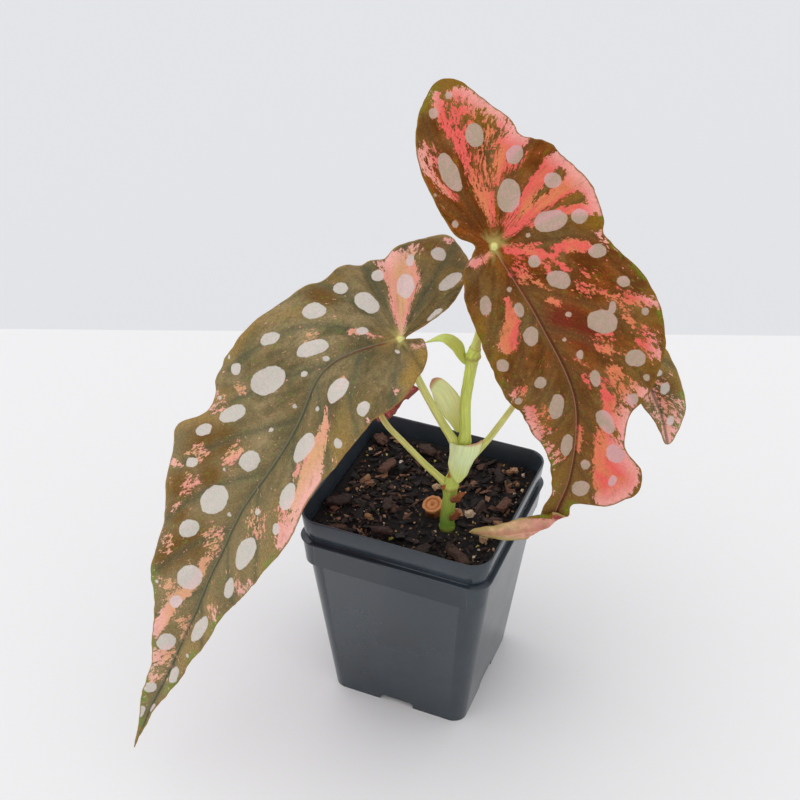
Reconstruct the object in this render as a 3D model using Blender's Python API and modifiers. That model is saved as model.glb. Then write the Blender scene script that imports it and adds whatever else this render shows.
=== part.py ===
"""Potted polka dot begonia: a young angel-wing begonia in a square nursery pot.

The pot stands on four corner feet, the potting mix fills it to just under the rim, and the cane
is rooted in the mix with four stalked leaves, their stipules, and loose bark and pumice on top.
All sizes below are millimetres in the pot's own frame: its middle is x = y = 0, its feet stand on
z = 0 and its front wall faces -Y. Meshes are made in metres.
"""
import bpy
import bmesh
from math import cos, floor, hypot, pi, radians, sin
from mathutils import Matrix, Vector, noise
from mathutils.bvhtree import BVHTree
from mathutils.geometry import delaunay_2d_cdt

MM = 0.001
GAP = 0.3                       # clearance kept between pieces that touch

# Pot: (half width, corner radius, height) of the outer wall, from the feet to the rim
FOOT = (33.4, 6.5, 0.0)
BODY_TOP = (42.3, 10.5, 82.7)
BAND_FOOT = (42.8, 7.0, 82.8)
BAND_TOP = (44.2, 9.0, 95.6)
SHELF_EDGE_LOW = (44.9, 9.3, 95.7)
SHELF_EDGE_TOP = (44.9, 9.3, 96.5)
RIM_FOOT = (43.0, 9.0, 96.6)
RIM_TOP = (44.45, 9.6, 108.9)
LIP_INSET, LIP_RISE = 0.35, 0.4
WALL = 1.1
SMALLEST_CORNER = 2.0
FLOOR_TOP = 5.2
RECESS_RADIUS, RECESS_DEPTH = 30.0, 3.8
ARCH_WIDTH, ARCH_HEIGHT, ARCH_SHOULDER = 17.0, 3.4, 2.0
DRAIN_RADIUS, DRAIN_SPREAD = 3.5, 17.0
CORNER_STEPS = 5

# Potting mix
SOIL_TOP = 100.6
SOIL_LUMP = 0.9
BROAD_LUMP, SMALL_LUMP = 14.0, 6.0      # lengths over which the top rises and falls
MOUND_HEIGHT, MOUND_REACH = 0.8, 25.0   # the mix is drawn up a little round the cane
SOIL_SHOULDER = 2.0                     # below this the mix follows the pot's wall
SOIL_RINGS = 8

# Leaves
LEAF_THICKNESS = 0.5
LEAF_CELL = 6.5
FOLD_CELL, FOLD_REACH = 2.0, 9.0
TAIL_HALF_WIDTH, LOBE_RELEASE = 7.0, 0.4
STIPULE_THICKNESS = 0.4
STIPULE_CELL = 2.2

# Cane, from its buried end to the highest node: (x, y, z, radius)
CANE = [(15.6, -15.2, 87.0, 2.6), (16.0, -15.0, 100.0, 3.3), (16.2, -14.9, 110.0, 3.1),
        (16.6, -14.7, 118.0, 2.9), (16.7, -14.6, 124.0, 3.5), (17.8, -14.2, 129.5, 2.7),
        (19.3, -13.6, 136.0, 2.6), (20.6, -13.0, 143.0, 3.0), (21.5, -12.6, 148.0, 3.0),
        (21.7, -12.5, 153.0, 2.4), (21.4, -12.6, 169.0, 2.3), (22.7, -12.2, 184.0, 2.4),
        (23.4, -11.9, 190.5, 2.9), (24.0, -11.6, 194.0, 2.3)]
STUB = [(6.8, -5.0, 94.0, 3.8), (6.6, -7.4, 103.0, 4.1), (6.4, -8.3, 106.2, 4.4)]
SOCKET_SIDES, SOCKET_RISE = 20, 8.0
STEM_STEP = 3.0
JOINT_SHARE = 0.75              # of a stalk's radius, kept clear so its slanting end misses the leaf

LEAF_A = dict(
    spine=[(-2, 6, 292), (10, -7, 268), (29, -10, 240), (49, -10, 212), (66, -8, 178),
           (68, -11, 143), (63, -14, 118)],
    facing=[(0.3, -0.6, 0.65), (0.3, -0.7, 0.6), (0.3, -0.76, 0.5), (0.3, -0.8, 0.35),
            (0.3, -0.85, 0.2), (0.3, -0.9, 0.1), (0.3, -0.9, 0.1)],
    attach=2, lift=(8, 8), roll_off=(0.006, 0.006), fold=(131, 55, 1.3),
    outline=[(-4, -7), (-12, -11), (-26, -12), (-38, -12), (-50, -10), (-61, -5), (-66, 1),
             (-64, 9), (-57, 16), (-49, 25), (-37, 28), (-27, 36), (-17, 39), (-1, 43), (13, 41),
             (21, 38), (36, 43), (49, 43), (62, 40), (71, 32), (76, 26), (82, 20), (90, 19),
             (96, 23), (102, 28), (110, 28), (116, 20), (120, 10), (123, 5), (130, 6), (138, 8),
             (147, 7), (158, 4), (170, 0), (158, -3), (147, -5), (138, -7), (130, -6), (118, -6),
             (106, -9), (96, -13), (86, -19), (69, -24), (51, -26), (40, -25), (23, -23),
             (14, -21), (4, -17), (0, -12)])

LEAF_B = dict(
    spine=[(38, 20, 200), (17, -2, 202), (-4, -23, 198), (-24, -48, 194), (-35, -62, 165),
           (-52, -82, 130), (-66, -100, 86), (-86, -125, 28)],
    facing=[(0.1, -0.4, 0.9), (0.13, -0.5, 0.86), (0.13, -0.55, 0.83), (0.0, -0.5, 0.85),
            (-0.1, -0.55, 0.75), (-0.15, -0.65, 0.6), (-0.1, -0.8, 0.4), (-0.1, -0.85, 0.3)],
    attach=2, lift=(10, 10), roll_off=(0.006, 0.004), fold=None,
    outline=[(-2, 1), (-7, 4), (-8, 9), (-4, 15), (4, 22), (14, 28), (26, 32), (42, 31), (53, 28),
             (70, 25), (84, 26), (98, 27), (110, 26), (127, 21), (144, 14), (159, 12), (174, 8),
             (191, 5), (212, 1), (227, 0), (210, -3), (198, -6), (188, -8), (176, -12),
             (167, -15), (150, -25), (135, -29), (122, -32), (112, -37), (101, -45), (94, -47),
             (82, -40), (67, -43), (55, -44), (45, -40), (34, -36), (22, -35), (8, -37),
             (-6, -35), (-16, -38), (-25, -39), (-34, -36), (-39, -29), (-38, -21), (-32, -12),
             (-23, -5), (-12, -2)])

LEAF_C = dict(
    spine=[(3, -13, 162), (-19, -13, 157), (-42, -5, 158), (-62, 8, 150), (-74, 18, 134)],
    facing=[(-0.25, 0.75, 0.45), (-0.3, 0.85, 0.45), (-0.4, 0.85, 0.5), (-0.6, 0.8, 0.5),
            (-0.8, 0.7, 0.4)],
    attach=1, lift=(10, -12), roll_off=(0.004, 0.004), fold=None,
    outline=[(-23, 16), (-24, 10), (-17, 4), (-10, -3), (-4, -9), (3, -14), (10, -16), (20, -15),
             (34, -11), (50, -7), (64, 0), (49, 9), (33, 17), (16, 24), (0, 26), (-13, 25),
             (-19, 21)])

LEAF_D = dict(
    spine=[(32, 30, 190), (48, 37, 186), (66, 40, 184), (82, 35, 173), (93, 29, 160),
           (102, 17, 148)],
    facing=[(0.3, -0.4, 0.85), (0.3, -0.45, 0.85), (0.35, -0.5, 0.8), (0.4, -0.5, 0.7),
            (0.45, -0.6, 0.6), (0.45, -0.65, 0.55)],
    attach=1, lift=(10, 10), roll_off=(0.006, 0.006), fold=None,
    outline=[(-2, 0), (-9, 5), (-12, 13), (-6, 19), (6, 21), (20, 18), (34, 14), (46, 13),
             (58, 12), (68, 7), (75, 0), (66, -4), (54, -7), (38, -11), (20, -13), (6, -12),
             (-3, -6)])

STIPULE_TOP = dict(
    spine=[(19.8, -13.2, 189.6), (17.2, -13.8, 195.2), (12.2, -15.0, 198.4), (6.1, -17.8, 196.2)],
    facing=[(0.8, -0.4, 0.35), (0.5, -0.4, 0.7), (0.0, -0.4, 0.9), (-0.3, -0.4, 0.85)],
    attach=0, lift=(-15, -15), roll_off=(0.0, 0.0), fold=None,
    outline=[(0, 2), (5, 3), (11, 3), (17, 1), (21, 0), (17, -1), (11, -2), (5, -3), (0, -2)])

STIPULE_LARGE = dict(
    spine=[(18.2, -10.2, 150.8), (15.6, -9.6, 158.0), (11.4, -10.8, 168.0), (6.0, -13.6, 176.0)],
    facing=[(0.4, -0.75, 0.4), (0.4, -0.75, 0.4), (0.4, -0.75, 0.4), (0.4, -0.7, 0.5)],
    attach=0, lift=(10, 10), roll_off=(0.05, 0.05), fold=None,
    outline=[(0, 1), (5, 3), (12, 5), (20, 5), (26, 3), (28, 0), (26, -3), (20, -4), (12, -5),
             (5, -4), (0, -2)])

STIPULE_COLLAR = dict(
    spine=[(20.4, -17.0, 130.5), (21.6, -17.2, 137.0), (23.0, -16.9, 144.0), (23.9, -16.7, 150.5)],
    facing=[(0.35, -0.9, 0.1), (0.35, -0.9, 0.1), (0.35, -0.9, 0.1), (0.35, -0.9, 0.1)],
    attach=0, lift=(0, 0), roll_off=(0.13, 0.13), fold=None,
    outline=[(-2, -1), (1, 2), (6, 5), (12, 6), (17, 7), (18, 4), (19, 0), (20, -4), (20, -8),
             (15, -7), (9, -5), (3, -4)])

STIPULE_DRY_UPPER = dict(
    spine=[(20.2, -16.6, 118.5), (21.4, -17.0, 122.0), (23.6, -17.6, 126.0)],
    facing=[(0.7, -0.7, 0.0), (0.7, -0.7, 0.1), (0.6, -0.7, 0.2)],
    attach=0, lift=(10, 10), roll_off=(0.1, 0.1), fold=None,
    outline=[(0, 2), (4, 3), (8, 0), (4, -2), (0, -2)])

STIPULE_DRY_LOWER = dict(
    spine=[(19.4, -17.0, 108.5), (20.3, -17.3, 112.0), (21.3, -17.8, 116.6)],
    facing=[(0.7, -0.7, 0.0), (0.7, -0.7, 0.1), (0.7, -0.7, 0.1)],
    attach=0, lift=(10, 10), roll_off=(0.1, 0.1), fold=None,
    outline=[(0, 2), (4, 2), (8, 0), (4, -2), (0, -2)])

# Petioles: (x, y, z) from the cane towards the leaf, whose underside ends them; the end radii
PETIOLE_A = dict(path=[(24.2, -11.5, 194.8), (25.2, -8.2, 204.0), (26.4, -4.4, 218.0),
                       (26.8, -4.2, 230.0)], radii=(2.0, 1.5))
PETIOLE_B = dict(path=[(16.6, -14.6, 149.4), (12.0, -16.8, 159.0), (5.6, -20.0, 174.0),
                       (0.6, -21.6, 186.0)], radii=(2.2, 1.6))
PETIOLE_C = dict(path=[(12.9, -15.1, 126.6), (5.0, -16.4, 134.0), (-4.0, -17.4, 143.0),
                       (-12.0, -17.6, 150.6)], radii=(1.9, 1.3))
PETIOLE_D = dict(path=[(24.2, -11.8, 138.4), (31.0, -7.6, 149.0), (38.5, -2.8, 163.2),
                       (43.0, 10.0, 171.0), (46.4, 27.0, 176.5)], radii=(1.8, 1.3))

# Loose pieces on the mix: (x, y, length, width, thickness, turn in degrees)
BARK = [(28, -33, 15, 6, 3, -32), (-36, -17, 13, 7, 3, 40), (-25, 14, 12, 6, 3, 75),
        (-9, -30, 11, 6, 3, 10), (26, 27, 12, 5, 3, -60), (-28, -36, 10, 5, 3, 15),
        (9, 22, 12, 6, 3, 35), (35, 8, 10, 5, 3, 80), (-12, 33, 11, 6, 3, -20),
        (12, -36, 9, 5, 3, 60), (-36, 32, 9, 6, 3, -50), (-14, -12, 10, 5, 3, -70)]
PUMICE = [(23, -5, 5, 4, 4, 20), (31, 34, 4, 3, 3, 0), (-30, 2, 4, 3, 3, 50), (2, 8, 4, 3, 3, 30),
          (34, -18, 4, 4, 3, 70), (-18, -24, 4, 3, 3, 10)]
CHIP_ROUGHNESS = 0.16


def remove_startup_objects():
    for obj in list(bpy.data.objects):
        bpy.data.objects.remove(obj, do_unlink=True)


def new_collection(name):
    group = bpy.data.collections.new(name)
    bpy.context.scene.collection.children.link(group)
    return group


def material(name, colour, roughness):
    mat = bpy.data.materials.new(name)
    mat.use_nodes = True
    shader = mat.node_tree.nodes["Principled BSDF"]
    shader.inputs["Base Color"].default_value = (*colour, 1.0)
    shader.inputs["Roughness"].default_value = roughness
    shader.inputs["Metallic"].default_value = 0.0
    return mat


def add_object(name, data, group, mat):
    obj = bpy.data.objects.new(name, data)
    group.objects.link(obj)
    data.materials.append(mat)
    return obj


def mesh_object(name, bm, group, mat, smooth_angle=35):
    """Turn a bmesh in millimetres into an object in metres, shaded smooth up to an angle."""
    bmesh.ops.recalc_face_normals(bm, faces=bm.faces)
    bmesh.ops.scale(bm, vec=(MM, MM, MM), verts=bm.verts)
    mesh = bpy.data.meshes.new(name)
    bm.to_mesh(mesh)
    bm.free()
    mesh.shade_smooth()
    mesh.set_sharp_from_angle(angle=radians(smooth_angle))
    return add_object(name, mesh, group, mat)


def rounded_square(half, radius, z):
    """Points round a square with rounded corners, anticlockwise from the +X +Y corner."""
    points = []
    for quarter in range(4):
        turn = Matrix.Rotation(quarter * pi / 2, 2)
        for step in range(CORNER_STEPS + 1):
            angle = step * pi / 2 / CORNER_STEPS
            corner = Vector((half - radius + radius * cos(angle),
                             half - radius + radius * sin(angle)))
            flat = turn @ corner
            points.append(Vector((flat.x, flat.y, z)))
    return points


def loft(rings):
    """A closed body through rings of equal point count, capped at both ends."""
    bm = bmesh.new()
    loops = [[bm.verts.new(point) for point in ring] for ring in rings]
    count = len(loops[0])
    for low, high in zip(loops, loops[1:]):
        for i in range(count):
            j = (i + 1) % count
            bm.faces.new((low[i], low[j], high[j], high[i]))
    bm.faces.new(list(reversed(loops[0])))
    bm.faces.new(loops[-1])
    return bm


def inner(ring):
    half, radius, z = ring
    return half - WALL, max(radius - WALL, SMALLEST_CORNER), z


def wall_at(z):
    """Half width and corner radius of the pot's inside at a height."""
    stations = [inner(FOOT), inner(BODY_TOP), inner(RIM_FOOT), inner(RIM_TOP)]
    for (h0, r0, z0), (h1, r1, z1) in zip(stations, stations[1:]):
        if z <= z1:
            t = (z - z0) / (z1 - z0)
            return h0 + (h1 - h0) * t, r0 + (r1 - r0) * t
    return stations[-1][:2]


def cut(target, cutter, group):
    """Subtract a cutter, which stays in its own collection as a wire guide."""
    for owner in list(cutter.users_collection):
        owner.objects.unlink(cutter)
    group.objects.link(cutter)
    cutter.hide_render = True
    cutter.display_type = "WIRE"
    modifier = target.modifiers.new("cut_" + cutter.name, "BOOLEAN")
    modifier.operation = "DIFFERENCE"
    modifier.solver = "EXACT"
    modifier.object = cutter


def cylinder(name, radius, bottom, top, group, mat, sides=SOCKET_SIDES):
    """An upright or leaning round cutter between two points."""
    start, end = Vector(bottom), Vector(top)
    axis = end - start
    bm = bmesh.new()
    place = Matrix.Translation((start + end) / 2) @ axis.to_track_quat("Z", "Y").to_matrix().to_4x4()
    bmesh.ops.create_cone(bm, cap_ends=True, segments=sides, radius1=radius, radius2=radius,
                          depth=axis.length, matrix=place)
    return mesh_object(name, bm, group, mat)


def arch(name, along_x, group, mat):
    """A long tunnel with round shoulders that cuts the drain arches out of two opposite edges."""
    reach = FOOT[0] + 3
    section = [(-ARCH_WIDTH / 2, -1.0), (ARCH_WIDTH / 2, -1.0)]
    for side, start in ((1, 0), (-1, pi / 2)):
        for step in range(4):
            angle = start + step * pi / 6
            section.append((side * (ARCH_WIDTH / 2 - ARCH_SHOULDER) + ARCH_SHOULDER * cos(angle),
                            ARCH_HEIGHT - ARCH_SHOULDER + ARCH_SHOULDER * sin(angle)))
    rings = []
    for end in (-reach, reach):
        rings.append([Vector((end, a, z)) if along_x else Vector((-a, end, z)) for a, z in section])
    return mesh_object(name, loft(rings), group, mat)


def build_pot(group, cutters, mat):
    half, radius = wall_at(FLOOR_TOP)
    lip = (RIM_TOP[0] - LIP_INSET, RIM_TOP[1] - LIP_INSET, RIM_TOP[2] + LIP_RISE)
    rings = [FOOT, BODY_TOP, BAND_FOOT, BAND_TOP, SHELF_EDGE_LOW, SHELF_EDGE_TOP, RIM_FOOT, RIM_TOP,
             lip, inner(RIM_TOP), inner(RIM_FOOT),
             inner(BODY_TOP), (half, radius, FLOOR_TOP)]
    pot = mesh_object("pot", loft([rounded_square(*ring) for ring in rings]), group, mat)
    cut(pot, arch("pot_arch_x", True, cutters, mat), cutters)
    cut(pot, arch("pot_arch_y", False, cutters, mat), cutters)
    recess = cylinder("pot_recess", RECESS_RADIUS, (0, 0, -1), (0, 0, RECESS_DEPTH), cutters, mat, 44)
    cut(pot, recess, cutters)
    for i, (sx, sy) in enumerate([(1, 1), (-1, 1), (-1, -1), (1, -1), (0, 0)]):
        place = (sx * DRAIN_SPREAD, sy * DRAIN_SPREAD)
        hole = cylinder(f"pot_drain_{i}", DRAIN_RADIUS, (*place, 2.0), (*place, 7.0), cutters, mat, 16)
        cut(pot, hole, cutters)
    return pot


def soil_height(x, y):
    """Height of the potting mix: a slight mound round the cane and broad lumps."""
    away = hypot(x - CANE[1][0], y - CANE[1][1])
    mound = MOUND_HEIGHT * max(0.0, 1 - away / MOUND_REACH)
    broad = noise.noise(Vector((x / BROAD_LUMP, y / BROAD_LUMP, 3.7)))
    small = noise.noise(Vector((x / SMALL_LUMP, y / SMALL_LUMP, 9.1)))
    return SOIL_TOP + mound + SOIL_LUMP * (broad + 0.6 * small)


def build_soil(group, cutters, mat):
    bottom = FLOOR_TOP + GAP
    levels = [bottom, BODY_TOP[2] / 2, BODY_TOP[2], SOIL_TOP - SOIL_SHOULDER]
    rings = []
    for z in levels:
        half, radius = wall_at(z)
        rings.append(rounded_square(half - GAP, radius, z))
    half, radius = wall_at(SOIL_TOP - SOIL_SHOULDER)
    for step in range(SOIL_RINGS):
        share = 1 - (step + 0.12) / SOIL_RINGS
        ring = rounded_square((half - GAP) * share, radius * share, 0.0)
        rings.append([Vector((p.x, p.y, soil_height(p.x, p.y))) for p in ring])
    soil = mesh_object("potting_mix", loft(rings), group, mat, 60)
    for name, stem in (("cane_socket", CANE), ("stub_socket", STUB)):
        low, high = Vector(stem[0][:3]), Vector(stem[1][:3])
        axis = (high - low).normalized()
        width = max(stem[0][3], stem[1][3]) + 2 * GAP
        socket = cylinder(name, width, low - axis * 2 * GAP, high + axis * SOCKET_RISE, cutters, mat)
        cut(soil, socket, cutters)
    return soil


def smooth_path(points, step):
    """Points every step along a Catmull-Rom curve; extra numbers ride along with x, y, z."""
    rows = [list(p) for p in points]
    ends = [[2 * a - b for a, b in zip(rows[0], rows[1])],
            [2 * a - b for a, b in zip(rows[-1], rows[-2])]]
    rows = [ends[0]] + rows + [ends[1]]
    path = []
    for p0, p1, p2, p3 in zip(rows, rows[1:], rows[2:], rows[3:]):
        length = hypot(*(b - a for a, b in zip(p1[:3], p2[:3])))
        count = max(1, round(length / step))
        for i in range(count):
            path.append(catmull_rom(p0, p1, p2, p3, i / count))
    path.append(rows[-2])
    return path


def catmull_rom(p0, p1, p2, p3, t):
    return [0.5 * (2 * b + (c - a) * t + (2 * a - 5 * b + 4 * c - d) * t * t
                   + (3 * b - a - 3 * c + d) * t ** 3) for a, b, c, d in zip(p0, p1, p2, p3)]


def tube(name, rows, group, mat):
    """A round stem through (x, y, z, radius) rows, as a bevelled curve with filled caps."""
    path = smooth_path(rows, STEM_STEP)
    curve = bpy.data.curves.new(name, "CURVE")
    curve.dimensions = "3D"
    curve.bevel_depth = MM
    curve.bevel_resolution = 3
    curve.use_fill_caps = True
    spline = curve.splines.new("POLY")
    spline.points.add(len(path) - 1)
    for point, (x, y, z, radius) in zip(spline.points, path):
        point.co = (x * MM, y * MM, z * MM, 1.0)
        point.radius = radius
    return add_object(name, curve, group, mat)


def petiole(name, spec, leaf, group, mat):
    """A leaf stalk that ends just clear of the underside of its leaf."""
    first, last = spec["radii"]
    joint, _, face = Blade(leaf).frame(0.0)
    clear = LEAF_THICKNESS / 2 + GAP + JOINT_SHARE * last
    path = spec["path"] + [joint - face * clear]
    rows = []
    for i, point in enumerate(path):
        share = i / (len(path) - 1)
        rows.append((*point, first + (last - first) * min(1.0, 2 * share)))
    return tube(name, rows, group, mat)


class Blade:
    """A leaf surface: flat leaf coordinates (along the midrib, across it) bent into space."""

    def __init__(self, spec):
        dense = 24
        spine, facing = spec["spine"], spec["facing"]
        rows = [list(p) + list(Vector(f).normalized()) for p, f in zip(spine, facing)]
        ends = [[2 * a - b for a, b in zip(rows[0], rows[1])],
                [2 * a - b for a, b in zip(rows[-1], rows[-2])]]
        rows = [ends[0]] + rows + [ends[1]]
        samples = []
        for quad in zip(rows, rows[1:], rows[2:], rows[3:]):
            samples += [catmull_rom(*quad, i / dense) for i in range(dense)]
        samples.append(rows[-2])
        self.points = [Vector(s[:3]) for s in samples]
        self.facing = [Vector(s[3:]) for s in samples]
        self.reach = [0.0]
        for a, b in zip(self.points, self.points[1:]):
            self.reach.append(self.reach[-1] + (b - a).length)
        zero = self.reach[spec["attach"] * dense]
        self.reach = [r - zero for r in self.reach]
        self.lift = [radians(a) for a in spec["lift"]]
        self.roll_off = spec["roll_off"]
        self.fold = spec["fold"]

    def frame(self, along):
        """Midrib point, across direction and facing direction at a distance along the midrib."""
        last = len(self.reach) - 2
        i = min(last, max(0, sum(1 for r in self.reach if r <= along) - 1))
        t = (along - self.reach[i]) / (self.reach[i + 1] - self.reach[i])
        ease = min(1.0, max(0.0, t))
        point = self.points[i].lerp(self.points[i + 1], t)
        low, high = max(0, i - 1), min(last + 1, i + 2)
        before = self.points[i + 1] - self.points[low]
        after = self.points[high] - self.points[i]
        tangent = before.normalized().lerp(after.normalized(), ease).normalized()
        face = self.facing[i].lerp(self.facing[i + 1], ease)
        face = (face - face.dot(tangent) * tangent).normalized()
        return point, face.cross(tangent), face

    def place(self, along, across):
        rise = 0.0
        if self.fold:
            along, across, rise = self.turn_back(along, across)
        point, side, face = self.frame(along)
        half = 0 if across > 0 else 1
        out, up = bend(abs(across), self.lift[half], self.roll_off[half])
        return point + side * (out if across > 0 else -out) + face * (up + rise)

    def turn_back(self, along, across):
        """Fold the tail over a slanting crease, so that its underside faces outward.

        The lobe beside the tail, wider than the tail's half width, stays flat."""
        start, angle, radius = self.fold[0], radians(self.fold[1]), self.fold[2]
        normal = Vector((cos(angle), sin(angle)))
        crease = Vector((-normal.y, normal.x))
        offset = Vector((along - start, across))
        kept_flat = max(0.0, across - TAIL_HALF_WIDTH) * (1 + LOBE_RELEASE) * normal.y
        past, beside = offset.dot(normal) - kept_flat, offset.dot(crease)
        if past <= 0:
            return along, across, 0.0
        if past < pi * radius:
            rise = radius * (1 - cos(past / radius))
            past = radius * sin(past / radius)
        else:
            rise = 2 * radius
            past = pi * radius - past
        flat = normal * (past + kept_flat) + crease * beside
        return start + flat.x, flat.y, rise


def bend(width, lift, roll_off):
    """Cross-section of half a blade: it rises from the midrib and rolls off outward."""
    if roll_off < 1e-6:
        return width * cos(lift), width * sin(lift)
    end = lift - roll_off * width
    return (sin(lift) - sin(end)) / roll_off, (cos(end) - cos(lift)) / roll_off


def even_outline(points, size_at):
    """A smooth closed curve through the outline's points, with points a cell apart."""
    count = len(points)
    curve = []
    for i in range(count):
        quad = [points[(i + k - 1) % count] for k in range(4)]
        length = hypot(quad[2][0] - quad[1][0], quad[2][1] - quad[1][1])
        steps = max(1, round(length / size_at(quad[1][0])))
        curve += [Vector(catmull_rom(*quad, k / steps)) for k in range(steps)]
    return curve


def inside(point, outline):
    hit = False
    for a, b in zip(outline, outline[1:] + outline[:1]):
        if (a.y > point.y) != (b.y > point.y):
            if point.x < a.x + (point.y - a.y) / (b.y - a.y) * (b.x - a.x):
                hit = not hit
    return hit


def clear_of(point, outline, margin):
    for a, b in zip(outline, outline[1:] + outline[:1]):
        edge = b - a
        t = min(1.0, max(0.0, (point - a).dot(edge) / edge.length_squared))
        if (a + edge * t - point).length < margin:
            return False
    return True


def blade_object(name, spec, group, mat, cell, thickness):
    """A closed sheet of even triangles in flat leaf coordinates, finer where its tail folds."""
    fold = spec["fold"]

    def size_at(along):
        return FOLD_CELL if fold and abs(along - fold[0]) < FOLD_REACH else cell

    outline = even_outline(spec["outline"], size_at)
    points = list(outline)
    low = Vector((min(p.x for p in outline), min(p.y for p in outline)))
    high = Vector((max(p.x for p in outline), max(p.y for p in outline)))
    for pitch in {cell, FOLD_CELL} if fold else {cell}:
        row_height = pitch * sin(pi / 3)
        for row in range(floor((high.y - low.y) / row_height) + 1):
            for column in range(floor((high.x - low.x) / pitch) + 2):
                spot = low + Vector(((column + 0.5 * (row % 2)) * pitch, row * row_height))
                if (size_at(spot.x) == pitch and inside(spot, outline)
                        and clear_of(spot, outline, 0.55 * pitch)):
                    points.append(spot)
    edges = [(i, (i + 1) % len(outline)) for i in range(len(outline))]
    flat, _, faces, *_ = delaunay_2d_cdt(points, edges, [], 1, 1e-4)
    blade = Blade(spec)
    bm = bmesh.new()
    verts = [bm.verts.new(blade.place(p.x, p.y)) for p in flat]
    for face in faces:
        bm.faces.new([verts[i] for i in face])
    obj = mesh_object(name, bm, group, mat, 60)
    solid = obj.modifiers.new("thickness", "SOLIDIFY")
    solid.thickness = thickness * MM
    solid.offset = 0.0
    return obj


def chip(name, row, seed, group, mat):
    """A rough lump of bark or pumice: an icosphere stretched, squared off and dented by noise."""
    x, y, length, width, thickness, turn = row
    bm = bmesh.new()
    bmesh.ops.create_icosphere(bm, subdivisions=2, radius=1.0)
    for vert in bm.verts:
        bumps = 1 + CHIP_ROUGHNESS * 2 * noise.noise(vert.co * 1.7 + Vector((seed, 0, 0)))
        square = max(abs(c) for c in vert.co) ** -0.5
        vert.co = vert.co * bumps * square
    bmesh.ops.scale(bm, vec=(length / 2, width / 2, thickness / 2), verts=bm.verts)
    tilt = Matrix.Rotation(radians(6 * sin(seed * 2.4)), 3, "X")
    bmesh.ops.rotate(bm, matrix=Matrix.Rotation(radians(turn), 3, "Z") @ tilt, verts=bm.verts)
    bmesh.ops.translate(bm, vec=(x, y, SOIL_TOP + 10), verts=bm.verts)
    return mesh_object(name, bm, group, mat, 50)


def seat_on(obj, ground):
    """Lower a loose piece until it lies a gap above the ground below it."""
    depsgraph = bpy.context.evaluated_depsgraph_get()
    tree = BVHTree.FromObject(ground, depsgraph)
    own = BVHTree.FromObject(obj, depsgraph)
    down, up = Vector((0, 0, -1)), Vector((0, 0, 1))
    drops = []
    for vert in obj.data.vertices:
        hit = tree.ray_cast(vert.co, down)
        if hit[0]:
            drops.append(hit[3])
    for vert in ground.evaluated_get(depsgraph).data.vertices:
        hit = own.ray_cast(vert.co, up)
        if hit[0]:
            drops.append(hit[3])
    shift = Matrix.Translation((0, 0, GAP * MM - min(drops)))
    obj.data.transform(shift)


def stand_on_floor(objects, guides):
    """Put the world origin under the middle of the whole plant's box, at floor level."""
    depsgraph = bpy.context.evaluated_depsgraph_get()
    corners = []
    for obj in objects:
        mesh = obj.evaluated_get(depsgraph).to_mesh()
        corners += [obj.matrix_world @ vert.co for vert in mesh.vertices]
        obj.evaluated_get(depsgraph).to_mesh_clear()
    low = Vector([min(c[k] for c in corners) for k in range(3)])
    high = Vector([max(c[k] for c in corners) for k in range(3)])
    base = bpy.data.objects.new("plant_base", None)
    bpy.context.scene.collection.objects.link(base)
    for obj in objects + guides:
        obj.parent = base
    base.location = (-(low.x + high.x) / 2, -(low.y + high.y) / 2, -low.z)


def main():
    remove_startup_objects()
    plant = new_collection("potted_polka_dot_begonia")
    cutters = new_collection("cutters")
    plastic = material("moulded_polypropylene", (0.035, 0.038, 0.042), 0.5)
    compost = material("bark_compost", (0.03, 0.018, 0.012), 0.95)
    bark = material("pine_bark", (0.09, 0.04, 0.022), 0.9)
    stone = material("pumice", (0.6, 0.48, 0.38), 0.9)
    green = material("green_stem", (0.36, 0.5, 0.08), 0.45)
    cork = material("corky_callus", (0.5, 0.2, 0.06), 0.8)
    papery = material("papery_stipule", (0.62, 0.7, 0.3), 0.5)
    dry = material("dry_stipule", (0.35, 0.13, 0.04), 0.8)
    olive = material("olive_leaf", (0.12, 0.11, 0.05), 0.5)
    bronze = material("bronze_leaf", (0.2, 0.08, 0.03), 0.45)

    soil = build_soil(plant, cutters, compost)
    build_pot(plant, cutters, plastic)
    tube("cane", CANE, plant, green)
    tube("cutting_stub", STUB, plant, cork)
    for place, stalk, leaf, mat in (("upper", PETIOLE_A, LEAF_A, bronze),
                                    ("drooping", PETIOLE_B, LEAF_B, olive),
                                    ("small", PETIOLE_C, LEAF_C, olive),
                                    ("right", PETIOLE_D, LEAF_D, olive)):
        petiole("petiole_" + place, stalk, leaf, plant, green)
        blade_object("leaf_" + place, leaf, plant, mat, LEAF_CELL, LEAF_THICKNESS)
    for name, spec, mat in (("stipule_top", STIPULE_TOP, papery),
                            ("stipule_large", STIPULE_LARGE, papery),
                            ("stipule_collar", STIPULE_COLLAR, papery),
                            ("stipule_dry_upper", STIPULE_DRY_UPPER, dry),
                            ("stipule_dry_lower", STIPULE_DRY_LOWER, dry)):
        blade_object(name, spec, plant, mat, STIPULE_CELL, STIPULE_THICKNESS)
    for prefix, rows, mat in (("bark_chip", BARK, bark), ("pumice_chip", PUMICE, stone)):
        for i, row in enumerate(rows, start=1):
            seat_on(chip(f"{prefix}_{i:02d}", row, i + len(prefix), plant, mat), soil)
    stand_on_floor(list(plant.objects), list(cutters.objects))


main()
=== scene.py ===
"""Potted polka dot begonia: the finish of every surface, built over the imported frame.

The pot, the cane, its leaf stalks, the four leaves, their stipules and the potting mix are rebuilt
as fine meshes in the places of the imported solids. Lengths are millimetres in the pot's own frame:
its middle is x = y = 0, its feet stand on z = 0 and its front wall faces -Y.
"""
from math import cos, hypot, pi, radians, sin

import bpy
import bmesh
import numpy as np
from mathutils import Matrix, Vector, noise
from mathutils.geometry import delaunay_2d_cdt

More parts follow.
